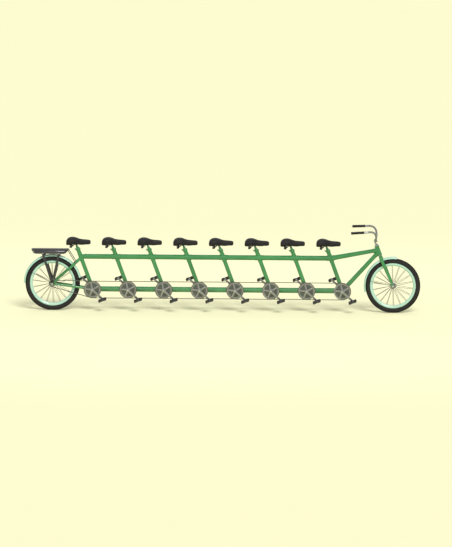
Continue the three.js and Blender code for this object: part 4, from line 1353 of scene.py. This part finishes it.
# %% [markdown]
# A rim is a hollow section, rolled into a hoop. Only its outside shows, so one closed outline is
# spun. The inner face carries the nipples, brass or steel nuts that pull the spokes tight.


# %% Rims and spokes
def rim_hoop():
    inside = RIM_RADIUS - RIM_DEPTH
    side = [
        (inside, 0.0060),
        (inside + 0.0010, 0.0088),
        (inside + 0.0070, 0.0140),
        (inside + 0.0120, 0.0172),
        (inside + 0.0145, 0.0183),
        (inside + 0.0160, RIM_HALF),
        (RIM_RADIUS - 0.0035, RIM_HALF),
        (RIM_RADIUS - 0.0012, RIM_HALF - 0.0006),
        (RIM_RADIUS, RIM_HALF - 0.0020),
    ]
    other = [(r, -y) for r, y in reversed(side)]
    return turned(side + other, ring=True, steps=144)


SPOKE_PAIRS, SPOKE_SPREAD, FIRST_SPOKE = 18, 0.010, radians(12)


def spoke_set(flange, spacing):
    """Spokes in parallel pairs, one of each pair from either flange, and their nipples."""
    spokes, nipples = [], []
    for i in range(SPOKE_PAIRS):
        angle = FIRST_SPOKE + tau * i / SPOKE_PAIRS
        out = Vector((cos(angle), 0, sin(angle)))
        across = Vector((-sin(angle), 0, cos(angle)))
        for hand in (-1, 1):
            offset = across * (hand * SPOKE_SPREAD / 2)
            root = out * (flange - 0.0055) + offset + LEFT * hand * (spacing / 2 + 0.0026)
            tip = out * (RIM_RADIUS - RIM_DEPTH + 0.004) + offset + LEFT * hand * 0.004
            bend = root + (tip - root).normalized() * 0.006
            head = root + LEFT * hand * 0.0045
            spokes.append(rod(bend, tip, 0.0021, sides=8))
            spokes.append(tube([head, root + (head - root) * 0.3, bend], 0.0021, 8, AHEAD))
            spokes.append(rod(head, head + LEFT * hand * 0.0016, 0.0036, sides=10))
            run = (tip - root).normalized()
            nipples.append(rod(tip - run * 0.0160, tip - run * 0.0020, 0.0030, 0.0036, sides=10))
    return spokes, nipples


def hub_shell(flange, spacing, end, right_radius):
    half = spacing / 2
    left = [
        (0.0152, end - 0.0006),
        (0.0160, end - 0.0016),
        (0.0160, half + 0.0068),
        (0.0195, half + 0.0052),
        (flange - 0.0010, half + 0.0050),
        (flange, half + 0.0040),
        (flange, half + 0.0008),
        (flange - 0.0012, half),
        (0.0275, half - 0.0018),
        (0.0245, half - 0.0070),
        (0.0240, half - 0.0100),
    ]
    right = [(right_radius if r < 0.0161 else r, -y) for r, y in reversed(left)]
    ends = [(0.0066, end - 0.0006), *left, *right, (0.0066, -end + 0.0006)]
    return turned(ends, ring=True, steps=56)


wheels = {
    "rear": (rear_axle, "rear_wheel", 0.040, 0.058, 0.060, 0.0190),
    "front": (front_axle, "front_wheel", 0.034, 0.062, 0.046, 0.0160),
}
for end, (axle, body, flange, spacing, reach, right_radius) in wheels.items():
    spot = on_axle(axle)
    piece(f"{end}_tyre_rubber", [tyre_shape], TYRE, body, [f"{end}_tyre"], spot)
    piece(f"{end}_rim_hoop", [rim_hoop()], MINT, body, [f"{end}_rim"], spot)
    shell = hub_shell(flange, spacing, reach, right_radius)
    piece(f"{end}_hub_shell", [shell], ALLOY, body, [f"{end}_hub"], spot)
    spokes, nipples = spoke_set(flange, spacing)
    middle = Matrix.Translation(axle)
    piece(f"{end}_spokes", spokes, SPOKES, body, spot=middle)
    piece(f"{end}_nipples", nipples, PLATED, body, spot=middle)
    low = Vector((0, 0, RIM_RADIUS - RIM_DEPTH + 0.003))
    valve = [rod(low, low - UP * 0.034, 0.0030, sides=14)]
    valve.append(rod(low - UP * 0.002, low - UP * 0.0055, 0.0060, sides=6, edge=0.0005))
    valve.append(rod(low - UP * 0.022, low - UP * 0.036, 0.0042, 0.0036, sides=14, edge=0.0006))
    turn = Matrix.Rotation(radians(-22), 4, "Y")
    piece(f"{end}_valve", valve, TREAD, body, spot=middle @ turn)
print("two wheels with", 2 * SPOKE_PAIRS, "spokes each")

# %% [markdown]
# ## Axle ends
#
# Each axle is a threaded steel bar. A washer and a nut on either side clamp it in its dropouts,
# and at the rear the rack's struts share the same nuts.


# %% Axles, washers and nuts
def axle_set(axle, inner_face, nut_face):
    end = nut_face + 0.0136
    shapes = [rod(axle - LEFT * end, axle + LEFT * end, 0.0052, sides=24, edge=0.0008)]
    for side in (-1, 1):
        out = LEFT * side
        for i in range(4):
            ridge = axle + out * (end - 0.0034 + i * 0.0010)
            shapes.append(rod(ridge, ridge + out * 0.0005, 0.0055, sides=24))
        shapes.append(
            rod(
                axle + out * inner_face,
                axle + out * (inner_face + 0.0022),
                0.0125,
                sides=32,
                edge=0.0005,
            ),
        )
        shapes.append(
            rod(
                axle + out * (nut_face - 0.0002),
                axle + out * (nut_face + 0.0018),
                0.0130,
                sides=32,
                edge=0.0005,
            ),
        )
        shapes.append(hexagon(axle + out * (nut_face + 0.0018), out, 0.0215, 0.0082))
    return shapes


piece(
    "rear_axle_nuts",
    axle_set(rear_axle, 0.0701, 0.0814),
    PLATED,
    "frame",
    ["rear_axle"],
)
piece(
    "front_axle_nuts",
    axle_set(front_axle, 0.0561, 0.0620),
    PLATED,
    "fork",
    ["front_axle"],
)
print("axles", round(rear_axle.z, 4), "m above the ground")

# %% [markdown]
# ## Mudguards
#
# A mudguard is rolled sheet: a shallow arch across the wheel, with its edges curled back on
# themselves, which stiffens them and leaves nothing sharp. The arch is spun through the part of a
# turn that the guard covers. Wire stays run from its lower end to an eye beside the axle.


# %% Mudguards
def guard_section():
    sheet = 0.0018
    deep, half = 0.0225, 0.0375
    outer = []
    arch = 14
    for i in range(arch + 1):
        angle = pi * i / arch
        outer.append((GUARD_OUTSIDE - deep + deep * sin(angle) ** 0.75, half * cos(angle)))
    inner = [
        (r - sheet if abs(y) < half * 0.98 else r, y * (1 - sheet / half))
        for r, y in reversed(outer)
    ]
    return outer + inner


def guard(axle, from_degrees, to_degrees, stay_degrees, stay_out):
    sweep = radians(to_degrees - from_degrees)
    spot = on_axle(axle)
    shapes = [turned(guard_section(), spot, 96, True, -radians(to_degrees), sweep)]
    edge = GUARD_OUTSIDE - 0.0225
    for side in (-1, 1):
        rim = []
        for i in range(97):
            angle = -radians(from_degrees) - sweep * i / 96
            rim.append(axle + radial(angle, edge + 0.0006, side * 0.0372))
        shapes.append(tube(rim, 0.0017, 8))
    stays = []
    angle = -radians(stay_degrees)
    for side in (-1, 1):
        grip_spot = axle + radial(angle, edge + 0.008, side * 0.0385)
        foot = axle + radial(angle, 0.026, side * stay_out)
        stays.append(rod(foot, grip_spot, 0.0023, sides=12))
        stays.append(rod(foot - LEFT * 0.0022, foot + LEFT * 0.0022, 0.0062, sides=20, edge=0.0006))
    return shapes, stays, angle


def guard_bolts(axle, angle, stay_out):
    """The nuts that hold the wires to the guard's sides, and the screws at their feet."""
    bolts = []
    for side in (-1, 1):
        out = LEFT * side
        spot = axle + radial(angle, GUARD_OUTSIDE - 0.0165, side * 0.0384)
        bolts.append(hexagon(spot - out * 0.001, out, 0.0100, 0.0035))
        foot = axle + radial(angle, 0.026, side * stay_out)
        bolts.append(rod(foot - out * 0.0055, foot + out * 0.0120, 0.0022, sides=12))
        bolts.append(hexagon(foot - out * 0.0022, -out, 0.0082, 0.0034))
    return bolts


guards = {
    "rear": (rear_axle, "frame", 12, 180, 152, 0.0585),
    "front": (front_axle, "fork", 82, 193, 168, 0.0445),
}
for end, (axle, body, begin, finish, stay, out) in guards.items():
    sheet, stays, angle = guard(axle, begin, finish, stay, out)
    piece(f"{end}_guard_sheet", sheet, MINT, body, [f"{end}_mudguard"])
    piece(f"{end}_guard_stays", stays, SPOKES, body)
    piece(f"{end}_guard_bolts", guard_bolts(axle, angle, out), PLATED, body)
print("mudguards clear the tyres by", round(GUARD_OUTSIDE - TYRE_RADIUS, 4), "m")

# %% [markdown]
# ## Rear rack
#
# The rack is welded from tube and closed at its sides by pressed panels. Flat struts carry its
# weight down to the axle, and two ties hold it forward against the seat stays.

# %% Rack
RACK_REAR, RACK_FRONT = -0.255, 0.200
RACK_DECK = 2 * TYRE_RADIUS + 0.083 - rear_axle.z
RACK_RAIL = RACK_DECK - 0.040
DECK_OUT, RAIL_OUT, RACK_TUBE = 0.055, 0.070, 0.007
STRUT_FROM = 0.076


def rack_spot(x, y, z):
    return rear_axle + Vector((x, y, z))


def rounded(corners, steps=4, closed=False):
    """A path whose corners are eased with short curves."""
    path = []
    count = len(corners)
    for i, corner in enumerate(corners):
        if not closed and i in (0, count - 1):
            path.append(corner)
            continue
        before, after = corners[i - 1], corners[(i + 1) % count]
        reach = min(0.022, (before - corner).length / 2.2, (after - corner).length / 2.2)
        start = corner + (before - corner).normalized() * reach
        end = corner + (after - corner).normalized() * reach
        path += interpolate_bezier(
            start, start.lerp(corner, 0.55), end.lerp(corner, 0.55), end, steps
        )
    return path


deck_corners = [
    rack_spot(RACK_REAR, -DECK_OUT, RACK_DECK),
    rack_spot(RACK_FRONT, -DECK_OUT, RACK_DECK),
    rack_spot(RACK_FRONT, DECK_OUT, RACK_DECK),
    rack_spot(RACK_REAR, DECK_OUT, RACK_DECK),
]
rack = [tube(rounded(deck_corners, 6, closed=True), RACK_TUBE, 16, UP, loop=True)]
strip = (RACK_FRONT - RACK_REAR + 0.010, 0.062, 0.004)
strip_middle = rack_spot((RACK_REAR + RACK_FRONT) / 2, 0, RACK_DECK + RACK_TUBE)
rack.append(box(strip, Matrix.Translation(strip_middle), 0.0012))
for i in range(1, 8):
    x = RACK_REAR + (RACK_FRONT - RACK_REAR) * i / 8
    rack.append(
        rod(rack_spot(x, -DECK_OUT, RACK_DECK), rack_spot(x, DECK_OUT, RACK_DECK), 0.0058, sides=14)
    )
stay_spots = smooth_path(upper_stay(1))
for side in (-1, 1):
    rail_ends = [RACK_REAR + 0.032, RACK_FRONT - 0.042]
    side_path = [
        rack_spot(RACK_REAR + 0.006, side * DECK_OUT, RACK_DECK),
        rack_spot(rail_ends[0], side * RAIL_OUT, RACK_RAIL),
        rack_spot(rail_ends[1], side * RAIL_OUT, RACK_RAIL),
        rack_spot(RACK_FRONT - 0.006, side * DECK_OUT, RACK_DECK),
    ]
    rack.append(tube(rounded(side_path, 5), RACK_TUBE, 14))
    lean = atan2(RAIL_OUT - DECK_OUT, RACK_DECK - RACK_RAIL) * side
    panel_middle = rack_spot(
        (RACK_REAR + RACK_FRONT - 0.010) / 2, side * (DECK_OUT + RAIL_OUT) / 2, (
            RACK_DECK + RACK_RAIL
        ) / 2
    )
    turn = Matrix.Translation(panel_middle) @ Matrix.Rotation(lean, 4, "X")
    tall = hypot(RAIL_OUT - DECK_OUT, RACK_DECK - RACK_RAIL)
    panel = box((rail_ends[1] - rail_ends[0] + 0.022, 0.003, tall), turn)
    rack.append(panel)
    bump = Matrix.Translation((0, side * 0.0015, 0))
    rack.append(
        box((rail_ends[1] - rail_ends[0] - 0.010, 0.0035, tall - 0.022), turn @ bump, 0.0016)
    )
    for top_x in (-0.117, 0.086):
        top = rack_spot(top_x, side * (STRUT_FROM + 0.0025), RACK_RAIL)
        foot = rack_spot(0, side * (STRUT_FROM + 0.0025), 0)
        rack.append(hull((top, 0.014, 0.005), (foot, 0.014, 0.005), sides=28, edge=0.0008))
    tie_foot = min(
        stay_spots,
        key=lambda spot: abs((spot - rear_axle).dot(seat_run) / seat_run.length_squared - 0.815),
    )
    clip = Vector((tie_foot.x, side * (abs(tie_foot.y) + 0.0135), tie_foot.z))
    deck_end = rack_spot(RACK_FRONT - 0.007, side * DECK_OUT, RACK_DECK)
    rack.append(rod(deck_end, clip, 0.0045, sides=14))
    rack.append(rod(clip - LEFT * 0.0045, clip + LEFT * 0.0045, 0.0085, sides=24, edge=0.001))
piece("rack_steelwork", rack, BLACK, "frame", ["rear_rack"])

rack_bolts = []
for side in (-1, 1):
    out = LEFT * side
    for top_x in (-0.117, 0.086):
        spot = rack_spot(top_x, side * 0.0815, RACK_RAIL)
        rack_bolts.append(rod(spot - out * 0.0010, spot + out * 0.0005, 0.0075, sides=24))
        rack_bolts.append(hexagon(spot, out, 0.0110, 0.0040))
    clip = Vector((tie_foot.x, side * (abs(tie_foot.y) + 0.0180), tie_foot.z))
    rack_bolts.append(hexagon(clip, out, 0.0100, 0.0036))
piece("rack_bolts", rack_bolts, PLATED, "frame")
print("a rack", round(RACK_FRONT - RACK_REAR, 3), "m long")

# %% [markdown]
# ## Fork
#
# Two tapered blades are brazed into a cast crown, which is pressed on the steerer tube. The
# blades are oval at the top, for stiffness fore and aft, and turn to a slim round at the tips.

# %% Fork
BLADE_OUT = 0.052
crown_middle = on_steering(CROWN_FOOT + CROWN_TALL / 2)
fork = [rod(crown_middle, on_steering(HEAD_TOP + 0.012), 0.0143, sides=32)]
across = [
    crown_middle + LEFT * y for y in (-0.060, -0.057, -0.050, -0.030, 0, 0.030, 0.050, 0.057, 0.060)
]
fullness = [0.35, 0.78, 0.97, 0.95, 1.0, 0.95, 0.97, 0.78, 0.35]


def crown_size(share):
    spot = share * (len(fullness) - 1)
    low = min(int(spot), len(fullness) - 2)
    full = fullness[low] + (fullness[low + 1] - fullness[low]) * (spot - low)
    return 0.0130 * full, 0.0200 * full


fork.append(tube(across, crown_size, 28, steer_up))
fork.append(
    rod(
        on_steering(CROWN_FOOT + 0.020),
        on_steering(CROWN_FOOT + CROWN_TALL + 0.004),
        0.0225,
        0.0190,
        36,
        0.001,
    ),
)
for side in (-1, 1):
    top = crown_middle + LEFT * (side * BLADE_OUT)
    foot = front_axle + LEFT * (side * BLADE_OUT)
    run = foot - top
    path = [top + run * share for share in (-0.02, 0.06, 0.12, 0.3, 0.5, 0.7, 0.85, 0.935, 0.95)]
    shares = [0.0208, 0.0212, 0.0208, 0.0195, 0.0180, 0.0160, 0.0143, 0.0125, 0.0090]
    wides = [0.0098, 0.0100, 0.0099, 0.0096, 0.0093, 0.0088, 0.0083, 0.0072, 0.0050]

    def blade_size(share):
        spot = share * (len(shares) - 1)
        low = min(int(spot + 1e-6), len(shares) - 2)
        part = spot - low
        wide = wides[low] + (wides[low + 1] - wides[low]) * part
        return wide, shares[low] + (shares[low + 1] - shares[low]) * part

    fork.append(tube(path, blade_size, 28))
    tip = foot - run.normalized() * 0.034
    fork.append(hull((foot, 0.017, 0.008), (tip, 0.012, 0.008), sides=32, edge=0.0012))
    eye = front_axle + radial(-radians(168), 0.026, side * BLADE_OUT)
    fork.append(hull((foot, 0.010, 0.006), (eye, 0.0062, 0.006), sides=20, edge=0.001))
piece("fork_blades", fork, GREEN, "fork", ["fork"])
print("fork blades", 2 * BLADE_OUT, "m apart")

# %% [markdown]
# ## Stem, handlebar and grips
#
# The stem's quill goes down inside the steerer, and a wedge bolt holds it there. Its clamp grips a
# wide bar that rises and sweeps far back, as on a roadster. The grips are moulded rubber, with
# rings to hold by and a flange against the rider's thumb.

# %% Stem
bar_centre = on_steering(HEAD_TOP + 0.072) + AHEAD * 0.012
stem = [rod(on_steering(HEAD_FOOT + 0.045), on_steering(HEAD_TOP + 0.070), 0.0110, sides=32)]
neck = [on_steering(HEAD_TOP + 0.038), on_steering(HEAD_TOP + 0.052), on_steering(HEAD_TOP + 0.064)]
neck += [bar_centre - AHEAD * 0.004, bar_centre]
stem.append(tube(smooth_path(neck, 5), lambda t: (0.0108 + 0.0022 * t, 0.0112 + 0.0034 * t), 28))
stem.append(rod(bar_centre - LEFT * 0.021, bar_centre + LEFT * 0.021, 0.0186, sides=40, edge=0.002))
top_cap = on_steering(HEAD_TOP + 0.072)
lug_spot = bar_centre + Vector((0.0150, 0, -0.0125))
stem.append(hull((bar_centre, 0.0150, 0.030), (lug_spot, 0.0085, 0.026), sides=28, edge=0.0015))
piece("stem_casting", stem, ALLOY, "fork", ["stem"])
stem_bolts = [hexagon(top_cap + steer_up * 0.010, steer_up, 0.0130, 0.0070)]
bolt_at = bar_centre + Vector((0.0165, 0, -0.0150))
stem_bolts.append(rod(bolt_at - LEFT * 0.016, bolt_at + LEFT * 0.016, 0.0034, sides=16))
for side in (-1, 1):
    stem_bolts.append(hexagon(bolt_at + LEFT * side * 0.013, LEFT * side, 0.0110, 0.0055))
lock = [
    (0.0150, 0), (0.0215, 0), (0.0235, 0.0015), (0.0235, 0.0065), (0.0215, 0.008), (0.0150, 0.008)
]
stem_bolts.append(turned(lock, placed(on_steering(HEAD_TOP + 0.0118), steer_up), 8, ring=True))
piece("stem_bolts", stem_bolts, PLATED, "fork")
print("handlebar held", round(bar_centre.z, 3), "m above the ground")

# %% [markdown]
# The bar is one bent tube, so it is swept along a smooth path and mirrored by its own list of
# bends. A grip is turned, because every ring of its outline is round, and it is laid along the
# straight end of the bar.

# %% Handlebar and grips
BAR, GRIP_LONG, GRIP_START = 0.0122, 0.160, 0.034
bar_half = [
    Vector((0, 0, 0)),
    Vector((0, 0.033, 0)),
    Vector((0.004, 0.074, 0.014)),
    Vector((0.009, 0.122, 0.056)),
    Vector((-0.001, 0.178, 0.105)),
    Vector((-0.030, 0.230, 0.134)),
    Vector((-0.068, 0.265, 0.143)),
    Vector((-0.104, 0.280, 0.142)),
]
grip_run = Vector((-1, 0.1, -0.05)).normalized()
bar_half += [
    bar_half[-1] + grip_run * GRIP_START, bar_half[-1] + grip_run * (GRIP_START + GRIP_LONG - 0.012)
]


def bar_spot(spot, side):
    return bar_centre + Vector((spot.x, side * spot.y, spot.z))


bar_path = [bar_spot(spot, -1) for spot in reversed(bar_half)] + [
    bar_spot(spot, 1) for spot in bar_half[1:]
]
bar = [tube(smooth_path(bar_path, 8), BAR, 28, Vector((0.4, 0, 1)))]
bar.append(rod(bar_centre - LEFT * 0.030, bar_centre + LEFT * 0.030, 0.0131, sides=32, edge=0.0006))
piece("handlebar_tube", bar, ALLOY, "fork", ["handlebar"])

ribs = [(0.0124, 0.0004), (0.0168, 0.0004), (0.0170, 0.0012), (0.0170, 0.0042), (0.0163, 0.0052)]
rib_count = 22
for i in range(rib_count):
    start = 0.0072 + i * 0.0063
    ribs += [
        (0.0150, start),
        (0.0163, start + 0.0010),
        (0.0163, start + 0.0038),
        (0.0150, start + 0.0048),
    ]
ribs += [
    (0.0166, 0.1480),
    (0.0170, 0.1500),
    (0.0170, 0.1570),
    (0.0160, 0.1592),
    (0.0120, 0.1600),
    (0, 0.1600),
]
ribs += [(0, 0.1500), (0.0124, 0.1490)]
for side, hand in ((-1, "right"), (1, "left")):
    start = bar_spot(bar_half[-3] + grip_run * GRIP_START, side)
    run = Vector((grip_run.x, side * grip_run.y, grip_run.z))
    shape = turned(ribs, placed(start, run), 40, ring=True)
    piece(f"grip_rubber_{hand}", [shape], GRIP, "fork", [f"grip_{hand}"])
print(len(made_pieces), "pieces in all")

# %% Sizes, and the end
print(len(made_pieces), "pieces")
